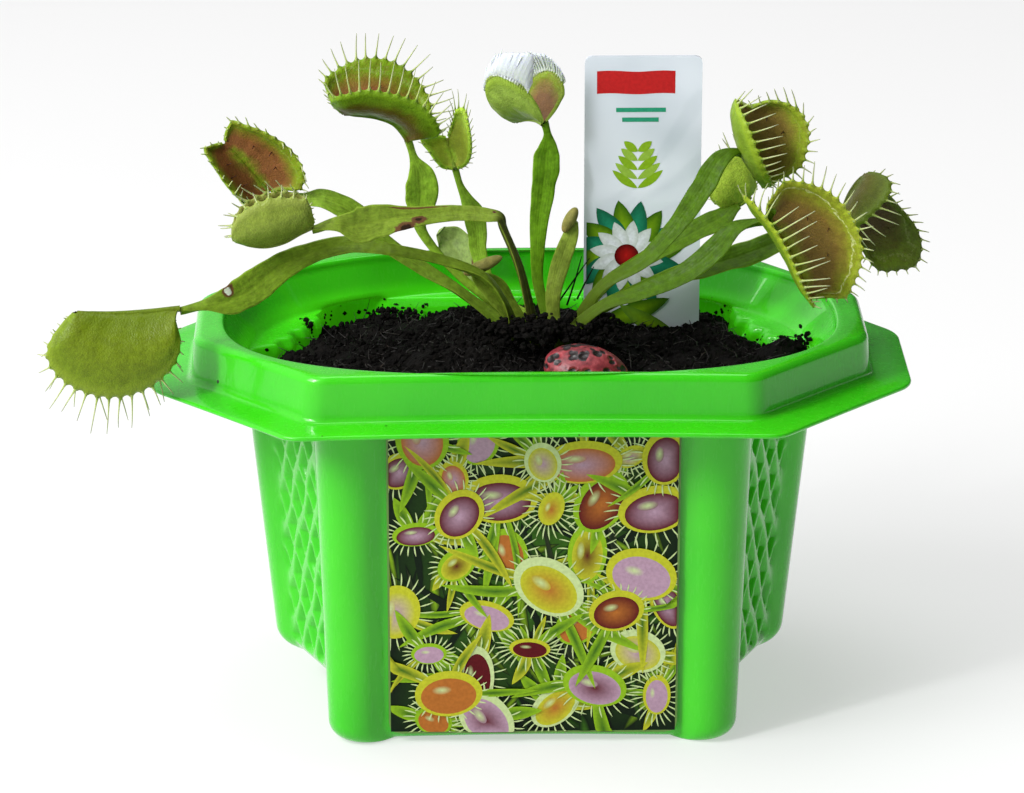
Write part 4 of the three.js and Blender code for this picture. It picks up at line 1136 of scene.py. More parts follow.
def web(trap, side):
    """The pale cilia of a young trap hold together: a thin ribbed sheet from the margin to their tips."""
    one = trap[side]
    t = np.linspace(0, 1, 121)
    root = lobe_point(trap, side, t, np.full(t.shape, 0.97))
    tip = curve(one["tips"], t, knots_of(one["margin"]))
    reach = np.linalg.norm(tip - root, axis=1)
    keep = reach > trap["shortest"]
    root, tip, t = root[keep], tip[keep], t[keep]
    ridge = 0.05 + 0.05 * np.sin(t * 240)
    rows = []
    up = np.linspace(0, 1, len(WEB_SHADES))
    for s, sign in [(s, 1) for s in up] + [(s, -1) for s in up[::-1]]:
        swell = 0.8 * math.sin(math.pi * s) + sign * (0.04 + ridge)
        rows.append(root + (tip - root) * s * (0.94 + 0.3 * ridge[:, None]) + one["outward"] * swell[:, None])
    uv = np.column_stack([np.repeat(t, len(rows)), np.tile(WEB_SHADES + WEB_SHADES[::-1], len(t))])
    return np.stack(rows, axis=1).reshape(-1, 3), grid_faces(len(t), len(rows), closed=True), uv


def triggers(trap, side):
    t = np.array([0.36, 0.5, 0.64])
    q = np.array([0.42, 0.56, 0.42])
    return lobe_point(trap, side, t, q), -lobe_normal(trap, side, t, q), np.full(3, 1.6), np.zeros((3, 3))


def merge(parts):
    """Several (points, faces, ...) into one."""
    shift, points, faces, rest = 0, [], [], []
    for part in parts:
        points.append(part[0])
        faces += [[v + shift for v in f] for f in part[1]]
        rest.append(part[2:])
        shift += len(part[0])
    return (np.concatenate(points), faces, *(np.concatenate(r) for r in zip(*rest)))

# %% [markdown]
# ## Where the leaves go
# Each leaf is a stem in the peat, then stops of x, y, z, half width and the way that its upper face looks.
# They follow the solids' stops, with some widths and heights trimmed after a look at the render. The two
# youngest leaves end in a bud.

# %% Stops of the leaves
LEAVES = {
    "low_left": dict(
        stem=(-2.5, -4.5, 1),
        blade=[
            (-5, -6, 82.5, 1.2, 1, -0.3, 0.6), (-9, -6.5, 88, 1.3, 0.5, -0.2, 1),
            (-17.6, -7, 91.5, 1.4, 0, -0.5, 1), (-27.2, -9, 94.2, 1.5, 0, -0.6, 1),
            (-34.9, -9, 95.2, 1.9, 0, -0.7, 0.8), (-41.7, -10, 94.2, 2.0, 0, -1, 0.5),
            (-48.3, -13, 92, 2.7, 0, -1, 0.35), (-53.7, -16, 88.9, 3.3, 0, -1, 0.3),
            (-58.2, -18.5, 87.2, 2.7, 0, -0.9, 0.4), (-62.5, -20, 86.9, 1.2, 0, -0.7, 0.7),
            (-67.2, -21.3, 86.6, 0.8, 0, 0, 1),
        ],
    ),
    "kinked_left": dict(
        stem=(1, -7, 1),
        blade=[
            (-2, -9, 90, 0.9, 0.7, -0.7, 0.3), (-5.2, -9, 98.6, 0.85, 0.7, -0.6, 0.5),
            (-6.0, -9, 100.6, 1.2, 0.3, -0.6, 0.8), (-8.5, -9, 101, 1.7, 0, -0.6, 0.9),
            (-14.5, -10, 101.8, 1.8, 0, -0.7, 0.8), (-23, -13, 102, 2.1, 0, -0.9, 0.6),
            (-29, -14, 101.6, 3.2, 0, -1, 0.4), (-33.5, -15, 101, 3.4, 0, -1, 0.4),
            (-37, -16, 101.7, 1.6, 0, -0.9, 0.6), (-42, -16, 101, 0.9, 0, 0, 1),
        ],
    ),
    "open_left": dict(
        stem=(-4, 1.5, 1),
        blade=[
            (-12, 4, 80, 1.5, 0.3, -0.3, 1), (-20.5, 6, 85, 1.7, 0, -0.5, 1),
            (-28.5, 8, 90, 2, 0, -0.5, 1), (-34.5, 10, 95.5, 2.4, 0, -0.6, 1),
            (-40, 11, 98, 2.4, 0, -0.7, 1), (-45, 12, 98, 1.4, 0, -0.6, 1),
            (-50, 13, 99, 0.9, 0, -0.3, 1),
        ],
    ),
    "tall_left": dict(
        stem=(-2, 5, 1),
        blade=[
            (-13, 8, 82.5, 1, 0.4, -0.6, 0.6), (-19, 10, 88.5, 1, 0.4, -0.6, 0.6),
            (-21.5, 11, 92.5, 1.3, 0.5, -1, 0.3), (-21.3, 12, 96, 2.7, 0.2, -1, 0.2),
            (-21.2, 12, 100, 3.3, 0.2, -1, 0.2), (-21.4, 12, 103, 2.6, 0.2, -1, 0.2),
            (-22.6, 12, 106.2, 0.9, 0.2, -1, 0.2), (-23.5, 12, 109.8, 0.8, 0.5, -0.5, 0.5),
        ],
    ),
    "back_left": dict(
        stem=(1.5, 8, 1),
        blade=[
            (-6.5, 12, 77.5, 1.2, 0.4, -0.8, 0.3), (-10, 18, 85.2, 1.7, 0.2, -1, 0.3),
            (-10.2, 19.5, 88.5, 2.0, 0.2, -1, 0.2), (-10.9, 21, 91.8, 2.2, 0.2, -1, 0.2),
            (-12.3, 22, 94.8, 1.2, 0.2, -1, 0.2), (-13.5, 22.4, 97.4, 0.7, 0.2, -1, 0.2),
            (-14.4, 22.6, 100.6, 0.7, 0.1, -1, 0.1),
        ],
    ),
    "pale_old": dict(
        stem=(-5.5, 6.5, 1),
        blade=[
            (-9.5, 18, 78, 1.6, 0, -1, 0.3), (-13, 25, 81, 3.2, 0, -1, 0.3),
            (-15.5, 28, 84, 3.4, 0, -1, 0.3), (-17.5, 28, 86, 1.2, 0, -1, 0.3),
        ],
    ),
    "young_left": dict(
        stem=(-0.5, -1, 1.1),
        blade=[
            (-4.5, -2, 80, 2.2, 0.2, -0.8, 0.6), (-7, -2, 83.5, 2.6, 0.2, -0.8, 0.6),
            (-10, -2, 86, 1.6, 0.2, -0.8, 0.6), (-11, -2, 87.5, 0.9, 0.2, -0.5, 0.8),
        ],
        bud=dict(start=(-13, -2.5, 87), end=(-5.5, -2.5, 90.5), radius=1.5),
    ),
    "centre_tall": dict(
        stem=(4, 4, 1.1),
        blade=[
            (1.7, 7.5, 82, 1.1, 0, -1, 0.2), (1.6, 8.5, 88, 1.4, 0, -1, 0.2),
            (2.0, 9.5, 94.5, 1.9, 0, -1, 0.1), (2.9, 10.5, 101, 2.4, 0.1, -1, 0.1),
            (3.4, 11, 106.5, 2.6, 0.1, -1, 0.1), (3.7, 11, 109.2, 1.7, 0, -1, 0.1),
            (3.6, 10.6, 111.3, 0.8, 0, -1, 0.1), (3.0, 9.8, 114, 0.8, 0, -0.6, 0.4),
        ],
    ),
    "centre_small": dict(
        stem=(5, 0, 1.1),
        blade=[
            (4.5, 0, 81.5, 1.5, -0.2, -1, 0.2), (6, 1, 88, 1.8, -0.2, -1, 0.2),
            (8, 1, 94, 1.5, -0.2, -1, 0.2), (8.5, 1, 96.5, 0.9, -0.2, -0.8, 0.3),
        ],
        bud=dict(start=(6.5, 0.5, 94.5), end=(9, 0.5, 99.5), radius=1.5),
    ),
    "right_upper": dict(
        stem=(8, -4, 1.1),
        blade=[
            (13.5, -7, 85.5, 1.4, -0.4, -0.6, 0.8), (22, -8, 91.5, 1.8, -0.4, -0.7, 0.8),
            (28.5, -8, 99, 2.0, -0.4, -0.8, 0.5), (33, -8, 106, 2.4, -0.4, -0.8, 0.5),
            (36.5, -7, 111.5, 1.9, -0.3, -0.8, 0.6), (39.5, -5, 112.5, 1, 0, -0.5, 1),
            (42, -3, 111, 0.9, 0.6, 0, 0.8), (44.5, -1, 106, 0.9, 1, 0, 0.3),
        ],
    ),
    "right_pale": dict(
        stem=(8.5, 1, 1.1),
        blade=[
            (14, 3, 82, 1.6, -0.3, -0.5, 1), (23, 5, 87.5, 2, -0.3, -0.6, 0.9),
            (31.5, 6, 92, 2.3, -0.3, -0.7, 0.8), (37.5, 7, 95, 2.4, -0.3, -0.7, 0.8),
            (41, 8, 97.5, 1, -0.3, -0.5, 0.8),
        ],
    ),
    "right_big": dict(
        stem=(5.5, -7.5, 1.1),
        blade=[
            (13.5, -11, 83, 1.5, -0.3, -0.6, 1), (22, -12, 86.5, 1.9, -0.3, -0.7, 0.9),
            (29.5, -12, 90, 2.2, -0.3, -0.8, 0.8), (35.5, -12, 95, 2.4, -0.3, -0.8, 0.7),
            (39, -12, 99, 1.8, -0.3, -0.6, 0.8), (42.5, -12, 100.5, 1, -0.1, -0.3, 1),
            (45, -13, 101.5, 0.9, 0.2, 0, 1), (46, -14, 103.5, 0.9, 0.2, 0, 1),
        ],
    ),
    "right_far": dict(
        stem=(9.5, 6, 1.1),
        blade=[
            (22, 10, 79.5, 1.7, -0.3, -0.6, 1), (34, 12, 83, 2.4, -0.2, -0.7, 0.8),
            (44, 14, 85.5, 2.8, -0.2, -0.7, 0.8), (52, 15, 88.5, 2.2, -0.2, -0.6, 0.8),
            (58, 15, 90, 1, 0, -0.4, 1), (61, 14, 93.5, 0.9, 0, -0.2, 1),
        ],
    ),
}

# %% [markdown]
# ## Where the traps are
# A trap is drawn by its curves, as a boat is by its lines: the hinge, then for the lobe near the camera
# and the far one the margin and where the tips of the cilia end. Each reading is how far right and how
# far down a point is in the picture, in pixels, then how far back it lies in millimetres, which I judged
# from how the lobe swings. Bulge is how far a lobe swells outwards, pitch the gap between its teeth, hair
# the thickness of its cilia and shortest the least length of one, all in millimetres; tooth is how deep
# the scallops are as a share of the lobe. Web marks the trap whose cilia hold together, and a plain trap
# shows no trigger hairs.

# %% Readings of the traps
TRAPS = {
    "low_left": dict(
        hinge=[
            (180, 309, -21.5), (150, 312, -22), (110, 314, -22.5), (77, 313, -23),
        ],
        near=dict(bulge=3.4, pitch=2.1, margin=[
            (170, 313, -22), (176, 328, -23.2), (180, 345, -24), (176, 361, -24.3), (165, 375, -24.5),
            (148, 388, -24.5), (125, 396, -24.5), (100, 396, -24.5), (80, 390, -24.5), (65, 382, -24.5),
            (53, 370, -24.5), (47, 354, -24.5), (50, 341, -24), (60, 328, -23.5), (73, 314, -23),
        ], tips=[
            (172, 313, -22), (181, 327, -23), (185, 347, -24), (182, 366, -24), (180, 390, -24),
            (154, 412, -24), (125, 432, -24), (93, 433, -24), (68, 420, -24), (49, 407, -24),
            (42, 379, -24), (38, 352, -24), (45, 338, -24), (56, 325, -23.5), (69, 312, -23),
        ]),
        far=dict(bulge=3, pitch=4.2, margin=[
            (170, 313, -22), (174, 328, -21), (177, 345, -20.5), (173, 360, -20), (162, 373, -20),
            (146, 385, -20), (125, 392, -20), (100, 393, -20), (82, 387, -20), (68, 379, -20),
            (56, 368, -20), (50, 354, -20), (52, 342, -20.5), (61, 328, -21.5), (74, 314, -23),
        ], tips=[
            (172, 313, -22), (179, 326, -21), (183, 350, -20.5), (184, 372, -20), (168, 398, -20),
            (158, 410, -20), (134, 420, -21), (112, 424, -21), (80, 415, -21), (60, 400, -21),
            (46, 384, -21), (41, 360, -21), (48, 338, -21), (57, 325, -22), (70, 312, -23),
        ]),
    ),
    "kinked_left": dict(
        hinge=[
            (313, 226, -16), (300, 232, -16.2), (284, 241, -16.5), (265, 246, -16.8), (248, 244, -17),
            (236, 241, -17),
        ],
        near=dict(bulge=2.6, pitch=2.3, margin=[
            (313, 222, -17), (311, 210, -18), (307, 199, -18.6), (292, 196, -19), (272, 196, -19.2),
            (255, 202, -19.3), (242, 210, -19.3), (235, 220, -19.2), (232, 231, -19), (234, 240, -18),
        ], tips=[
            (315, 224, -17), (315, 212, -18.5), (309, 195, -19), (293, 190, -19.5), (272, 185, -19.5),
            (250, 194, -19), (232, 203, -19), (223, 221, -19), (221, 234, -19), (228, 242, -18),
        ]),
        far=dict(bulge=2.2, margin=[
            (312, 221, -15.6), (309, 209, -15), (304, 197, -14.8), (290, 192, -14.6), (270, 192, -14.6),
            (252, 199, -14.6), (240, 208, -14.8), (234, 219, -15), (232, 231, -15.6), (235, 240, -16.4),
        ], tips=[
            (314, 220, -15.6), (314, 205, -15), (303, 190, -15), (283, 181, -15.5), (258, 182, -15.5),
            (236, 192, -15.5), (230, 203, -15.5), (221, 219, -15.5), (220, 232, -15.6), (229, 243, -16.4),
        ]),
    ),
    "open_left": dict(
        hinge=[
            (269, 192, 13.5), (258, 178, 13.6), (244, 162, 13.2), (232, 150, 12.8), (225, 144, 12.4),
        ],
        near=dict(bulge=1.6, margin=[
            (268, 194, 13), (262, 203, 10.5), (250, 206, 8), (239, 197, 6.5), (228, 184, 6), (218, 170, 6),
            (210, 158, 6.4), (205, 149, 7.2), (212, 145, 9.6), (223, 143.5, 12),
        ], tips=[
            (268, 197, 13), (258, 200, 9), (241, 195, 6.2), (243, 187, 6), (230, 179, 5.6), (214, 168, 5),
            (204, 157, 5.4), (198, 152, 6), (209, 142, 9), (222, 141, 12),
        ]),
        far=dict(bulge=1.4, margin=[
            (271, 192, 13), (285, 191, 12), (300, 190, 10.5), (304, 181, 9.6), (302, 168, 9),
            (296, 157, 9), (285, 146, 9), (270, 136, 9), (255, 129, 9.5), (241, 124, 10), (233, 121, 10.5),
            (227, 129, 11.6), (225, 141, 12.4),
        ], tips=[
            (275, 193, 13), (288, 193, 12), (308, 192, 10.2), (309, 187, 9), (305, 176, 8),
            (298, 162, 7.6), (286, 152, 7.6), (270, 131, 8.4), (252, 121, 9), (237, 115, 9.6),
            (229, 115, 10), (224, 127, 11.4), (223, 140, 12.2),
        ]),
    ),
    "tall_left": dict(
        hinge=[
            (409, 141, 12), (403, 132, 12), (394, 123, 11.8), (380, 117, 11.4), (362, 114.5, 10.6),
            (344, 113.5, 9.6),
        ],
        near=dict(bulge=1.7, margin=[
            (410, 138, 11.5), (425, 136.5, 9.4), (440, 132, 7.4), (438, 122, 5.6), (431, 111, 4.4),
            (420, 101, 3.8), (402, 94, 3.4), (384, 90, 3.4), (367, 88, 3.4), (350, 92, 3.6),
            (337, 95, 4.4), (331, 98, 6), (341, 112, 9),
        ], tips=[
            (413, 139, 11.5), (430, 138, 9), (450, 126, 7), (455, 112, 5), (447, 93, 3.5), (430, 76, 2.8),
            (410, 68, 2.6), (389, 60, 2.6), (367, 59, 2.6), (346, 63, 2.8), (329, 76, 3.4), (324, 92, 5),
            (336, 111, 8.6),
        ]),
        far=dict(bulge=1.8, margin=[
            (410, 137, 12.4), (424, 127, 14), (432, 108, 16.4), (426, 90, 18), (412, 72, 18.8),
            (397, 62, 19), (380, 57, 19), (362, 58, 18.8), (345, 64, 18), (333, 72, 16.6), (326, 78, 14.6),
            (331, 98, 12), (342, 112, 10),
        ], tips=[
            (413, 136, 12.4), (440, 124, 14), (454, 104, 16.4), (447, 84, 18), (428, 54, 19),
            (409, 39, 19.4), (384, 31, 19.6), (361, 32, 19.4), (338, 43, 18.6), (322, 58, 17),
            (317, 71, 15), (324, 95, 12), (338, 111, 10),
        ]),
    ),
    "back_left": dict(
        plain=True, hair=0.13,
        hinge=[
            (455, 168, 22.6), (452, 156, 23.6), (449, 146, 24.2), (447, 138, 24.6),
        ],
        near=dict(bulge=0.9, tooth=0.02, margin=[
            (453, 168, 22.4), (443, 167, 21.4), (437, 161, 20.6), (430, 151, 20), (421, 137, 20),
            (434, 135, 22), (446, 137.5, 24.4),
        ], tips=[
            (452, 171, 22.4), (438, 170, 21.2), (431, 162, 20), (424, 151, 19.4), (414, 133, 19.4),
            (433, 131, 22), (446, 134, 24.4),
        ]),
        far=dict(bulge=0.9, tooth=0.02, pitch=1.2, margin=[
            (457, 168, 22.4), (465, 165, 21.2), (469, 158, 20), (470, 140, 19.4), (467, 122, 19.8),
            (463, 108, 20.6), (457, 108, 21.4), (452, 120, 23), (448, 137, 24.4),
        ], tips=[
            (460, 170, 22.4), (471, 167, 21), (475, 156, 19.6), (476, 136, 19), (472, 113, 19.4),
            (466, 90, 20.4), (456, 88, 21.2), (448, 110, 22.6), (446, 134, 24.2),
        ]),
    ),
    "centre_tall": dict(
        web=True, shortest=2.2, hair=0.22,
        hinge=[
            (543, 123, 9.4), (538, 120, 10.6), (530, 118.5, 12.4), (522, 119, 14), (516, 121.5, 15),
        ],
        near=dict(bulge=1.9, pitch=0.55, tooth=0.02, margin=[
            (543, 120, 8.6), (541, 110, 7.4), (536, 100, 6.6), (529, 91, 6.2), (520, 84, 6),
            (508, 77, 6.2), (496, 73.5, 7), (488, 79, 8.4), (486.5, 90, 10.2), (491, 101, 12),
            (501, 111, 13.8), (514, 121, 15),
        ], tips=[
            (545, 119, 8.6), (543.5, 108, 7.4), (539, 97, 6.6), (533, 83, 6.2), (534, 55, 6),
            (519, 52, 6.2), (501, 53, 7), (490, 62, 8.2), (484, 84, 10), (487, 99, 11.6), (497, 112, 13.4),
            (511, 122, 15),
        ]),
        far=dict(bulge=1.7, pitch=0.55, tooth=0.02, margin=[
            (545, 121, 9.8), (552, 111, 10.8), (559, 99, 12), (562.5, 90, 13), (561, 81, 14),
            (556, 74, 15), (549, 69, 16), (540, 70, 17), (530, 78, 17.8), (521, 92, 17.6),
            (517, 108, 16.6), (516, 119, 15.4),
        ], tips=[
            (548, 120, 9.6), (555, 109, 10.4), (562, 97, 11.6), (565.5, 86, 12.6), (562.5, 73, 13.4),
            (556, 63, 14.4), (547, 55, 15.4), (534, 52, 16.4), (520, 56, 17.4), (510, 84, 17.4),
            (510, 106, 16.6), (512, 119, 15.4),
        ]),
    ),
    "right_upper": dict(
        hinge=[
            (765, 187, 1), (757, 172, 1.4), (748, 153, 1.8), (740, 132, 1.8), (736, 112, 1.4),
            (736, 100, 0.8),
        ],
        near=dict(bulge=2.6, margin=[
            (767, 187, -0.5), (773, 181, -4), (770, 172, -7), (766, 163, -8.4), (761, 150, -9),
            (756, 138, -9), (751, 126, -8.6), (746, 115, -7.4), (741, 106, -5), (737, 99, -1),
        ], tips=[
            (772, 189, -0.5), (780, 183, -5), (784, 168, -8.6), (785, 158, -10), (785, 146, -10.6),
            (782, 132, -10.6), (777, 119, -10), (769, 105, -8.6), (758, 91, -6), (741, 92, -1.5),
        ]),
        far=dict(bulge=2.4, margin=[
            (768, 187, 0.6), (780, 180, -0.4), (792, 174, -1.6), (801, 166, -2.8), (806, 151, -3.8),
            (808.5, 138, -4), (806, 124, -4), (799, 112, -3.6), (788, 105, -3), (775, 102, -2.4),
            (763, 104, -1.6), (751, 108, -0.4), (740, 103, 0.6),
        ], tips=[
            (773, 190, 0.6), (788, 186, -0.6), (802, 183, -2), (813, 172, -3.4), (818, 150, -4.6),
            (818, 132, -5), (813, 113, -5), (797, 94, -4.6), (785, 88, -4), (772, 89, -3.2),
            (760, 92, -2.4), (745, 100, -0.6), (737, 98, 0.4),
        ]),
    ),
    "right_pale": dict(
        hinge=[
            (750, 196, 8.6), (740, 204, 9), (726, 210, 9.4),
        ],
        near=dict(bulge=1.8, margin=[
            (757, 188, 8), (753, 172, 7.2), (745, 158, 6.8), (733, 150, 6.8), (721, 163, 7), (709, 192, 8),
            (715, 202, 9),
        ], tips=[
            (761, 185, 8), (758, 165, 6.4), (745, 138, 6), (727, 131, 6), (714, 150, 6.4), (703, 190, 8),
            (711, 204, 9),
        ]),
        far=dict(bulge=1.6, margin=[
            (756, 188, 9.6), (751, 172, 10.4), (743, 159, 10.8), (733, 153, 10.8), (723, 165, 10.6),
            (712, 192, 10.2), (717, 202, 9.8),
        ], tips=[
            (760, 184, 9.6), (754, 160, 10.4), (738, 136, 10.8), (722, 134, 10.8), (713, 158, 10.6),
            (706, 191, 10.2), (713, 204, 9.8),
        ]),
    ),
    "right_big": dict(
        hinge=[
            (768, 218, -12), (778, 232, -11.4), (788, 248, -11), (797, 266, -11), (804, 283, -11.4),
            (811, 299, -12),
        ],
        near=dict(bulge=1.6, margin=[
            (764, 219, -13), (755, 209, -15.4), (746, 195, -18.6), (755, 202, -20.6), (764, 212, -21.8),
            (773, 223, -22.6), (781, 235, -23), (788, 248, -23), (795, 263, -22.8), (801, 278, -22.2),
            (807, 292, -20.6), (815, 307, -16),
        ], tips=[
            (760, 218, -13), (749, 206, -16), (741, 182, -20), (758, 184, -23), (774, 188, -25),
            (797, 202, -26.6), (812, 216, -27), (816, 233, -27), (824, 251, -26.8), (830, 274, -26),
            (826, 288, -23.6), (820, 312, -17),
        ]),
        far=dict(bulge=3, margin=[
            (768, 216, -12), (767, 207, -12.8), (774, 195, -13.8), (786, 182, -14.8), (800, 183, -15.4),
            (814, 187, -15.8), (829, 194, -16), (842, 206, -16), (852, 220, -16), (859, 238, -16),
            (861.5, 255, -16), (858, 274, -15.8), (851, 289, -15.2), (846, 298.5, -14.4), (828, 298, -13),
            (812, 298, -12),
        ], tips=[
            (770, 208, -12), (768, 198, -13), (776, 182, -14.4), (788, 170, -16), (804, 165, -17),
            (819, 163, -17.4), (837, 171, -17.6), (853, 190, -17.6), (866, 208, -17.6), (874, 238, -17.4),
            (875, 258, -17), (868, 280, -16.6), (862, 294, -16), (850, 303, -15), (828, 303, -13),
            (812, 302, -12),
        ]),
    ),
    "right_far": dict(
        hinge=[
            (845, 208, 15), (850, 196, 15.4), (857, 184, 15.6), (866, 174.5, 15.4),
        ],
        near=dict(bulge=1.6, margin=[
            (844, 210, 14), (848, 218, 11), (855, 226, 8.8), (863, 225, 7.6), (872, 217, 7.2),
            (882, 208, 7.2), (890, 197, 7.6), (893, 185, 9), (884, 176, 12), (869, 173.5, 14.8),
        ], tips=[
            (844, 214, 13.6), (858, 236, 10), (872, 252, 7), (884, 243, 5.6), (895, 229, 5.2),
            (903, 214, 5.4), (900, 200, 6), (901, 187, 8), (889, 171, 11.6), (871, 170, 14.6),
        ]),
        far=dict(bulge=1.8, tooth=0.02, margin=[
            (846, 212, 15.4), (854, 236, 15), (866, 256, 15), (880, 271, 15.6), (900, 271, 16.6),
            (917, 266, 17.6), (922.5, 250, 18.4), (920, 234, 18.8), (911, 219, 18.8), (901, 209, 18.4),
            (890, 197, 17.6), (870, 177, 16),
        ], tips=[
            (844, 216, 15.4), (850, 241, 15), (861, 262, 15), (878, 277, 15.6), (901, 277, 16.6),
            (922, 270, 17.6), (932, 253, 18.4), (930, 236, 18.8), (921, 217, 18.8), (910, 206, 18.4),
            (897, 192, 17.6), (872, 173, 16),
        ]),
    ),
}

# %% [markdown]
# The camera already stands where the photographer stood, so it turns a reading into a place: the ray from
# the camera through the pixel is followed until it reaches the depth of the reading.

# %% Turn the readings into places
RAY_AHEAD = np.array(CAMERA_AHEAD)
RAY_RIGHT = np.array([math.cos(LOOK_RIGHT), -math.sin(LOOK_RIGHT), 0])
RAY_UP = np.cross(RAY_RIGHT, RAY_AHEAD)


def place_of(reading):
    """The place in the frame, to a tenth of a millimetre, of a reading of two pixels and a depth."""
    right, down, depth = reading
    ray = RAY_AHEAD * PIXELS_PER_MM * DISTANCE
    ray = ray + RAY_RIGHT * (right - IMAGE_WIDTH / 2) + RAY_UP * (IMAGE_HEIGHT / 2 - down)
    start = np.array(CAMERA_PLACE)
    return np.round(start + ray * (depth - start[1]) / ray[1], 1)


for name, trap in TRAPS.items():
    trap["hinge"] = [place_of(reading) for reading in trap["hinge"]]
    for side in SIDES:
        for line in ("margin", "tips"):
            trap[side][line] = [place_of(reading) for reading in trap[side][line]]
    hinge_length = np.linalg.norm(np.diff(trap["hinge"], axis=0), axis=1).sum()
    print(f"{name}: hinge {hinge_length:.1f} mm long")

# %% [markdown]
# ## Leaf finishes
# Blades are olive at the stalk and a fresher green higher up, with fine lengthwise veins, a paler midrib
# and a thin yellowish margin; the oldest have brown scars. The place on the leaf comes from the sweep as
# two numbers, so every vein follows its leaf. Light comes through a leaf, which a subsurface gives.

# %% Finish of a blade
FRECKLE, SCAR_EDGE = (0.03, 0.02, 0.01), (0.10, 0.045, 0.02)
MARGIN_GREEN = (0.22, 0.31, 0.03)


def shade_of(colour, share):
    """The colour made darker, or above 1 lighter."""
    return tuple(share * c for c in colour)


def blade_finish(name, stalk, green, edge=MARGIN_GREEN, scars=(), olive=(0.0, 0.35)):
    """Green with an olive stalk; a scar is its place across and along, its size in both, and its colour."""
    finish = Finish(
        name, Roughness=0.42, Specular_IOR_Level=0.07, Subsurface_Weight=0.1,
        Subsurface_Radius=(0.5, 1.0, 0.15), Subsurface_Scale=0.0012,
    )
    across, along = finish.uv()
    on_leaf = {0: finish.math("MULTIPLY", across, 6.0), 1: finish.math("MULTIPLY", along, 9.0)}
    streaks = finish.noise(2.6, 5, 0.65, vector=finish.node("ShaderNodeCombineXYZ", on_leaf).outputs[0])
    patches = finish.math("ADD", finish.noise(620, 5, 0.7), finish.math("MULTIPLY", streaks, 0.6))
    mottled = finish.span(patches, 0.55, 1.05)
    colour = finish.blend(mottled, shade_of(green, 0.68), shade_of(green, 1.25))
    colour = finish.blend(finish.span(along, *olive, 1.0, 0.0), colour, stalk)
    veins = finish.math("SINE", finish.math("MULTIPLY", across, 50.0))
    colour = finish.blend(finish.span(veins, 0.2, 1.0, 0.0, 0.07), colour, shade_of(green, 1.3))
    off = finish.math("ABSOLUTE", finish.math("SUBTRACT", across, 0.5))
    colour = finish.blend(finish.span(off, 0.02, 0.05, 0.25, 0.0), colour, shade_of(green, 1.35))
    colour = finish.blend(finish.span(off, 0.45, 0.5, 0.0, 0.55), colour, edge)
    freckle_size = finish.span(finish.noise(180, 2), 0.55, 0.75, 0.0, 0.14)
    freckles = finish.math("LESS_THAN", finish.cells(520), freckle_size)
    colour = finish.blend(finish.math("MULTIPLY", freckles, 0.8), colour, FRECKLE)
    for u, v, wide, long, centre in scars:
        du = finish.math("MULTIPLY", finish.math("SUBTRACT", across, u), 1 / wide)
        dv = finish.math("MULTIPLY", finish.math("SUBTRACT", along, v), 1 / long)
        squares = finish.math("ADD", finish.math("MULTIPLY", du, du), finish.math("MULTIPLY", dv, dv))
        far = finish.math("SQRT", squares)
        far = finish.math("ADD", far, finish.math("MULTIPLY", finish.noise(900, 3), 0.9))
        colour = finish.blend(finish.span(far, 1.15, 1.45, 1.0, 0.0), colour, SCAR_EDGE)
        colour = finish.blend(finish.span(far, 0.8, 1.0, 0.9, 0.0), colour, centre)
    ridges = finish.bump(veins, 0.015, 0.5)
    blisters = finish.bump(finish.cells(650, "SMOOTH_F1"), 0.22, 0.7, ridges)
    lumps = finish.bump(finish.noise(1100, 4), 0.16, 0.8, blisters)
    return finish.done(colour, lumps, finish.span(finish.noise(500, 2), 0.3, 0.7, 0.34, 0.52))


# %% [markdown]
# Inside a trap the digestive glands redden with light: the lobe is brown-red from the hinge to beyond
# its middle, then fades to green, and a bright rim carries the cilia. Outside it is plain green with a
# blush where the red shows through. The tint of each point says which skin it is on.

# %% Finish of a trap
# The pale colour of the rim beads is partly nectar and partly a painted highlight along the rim.
NECTAR_AND_GLINT, BLUSH_RED = (0.6, 0.62, 0.3), (0.09, 0.035, 0.008)


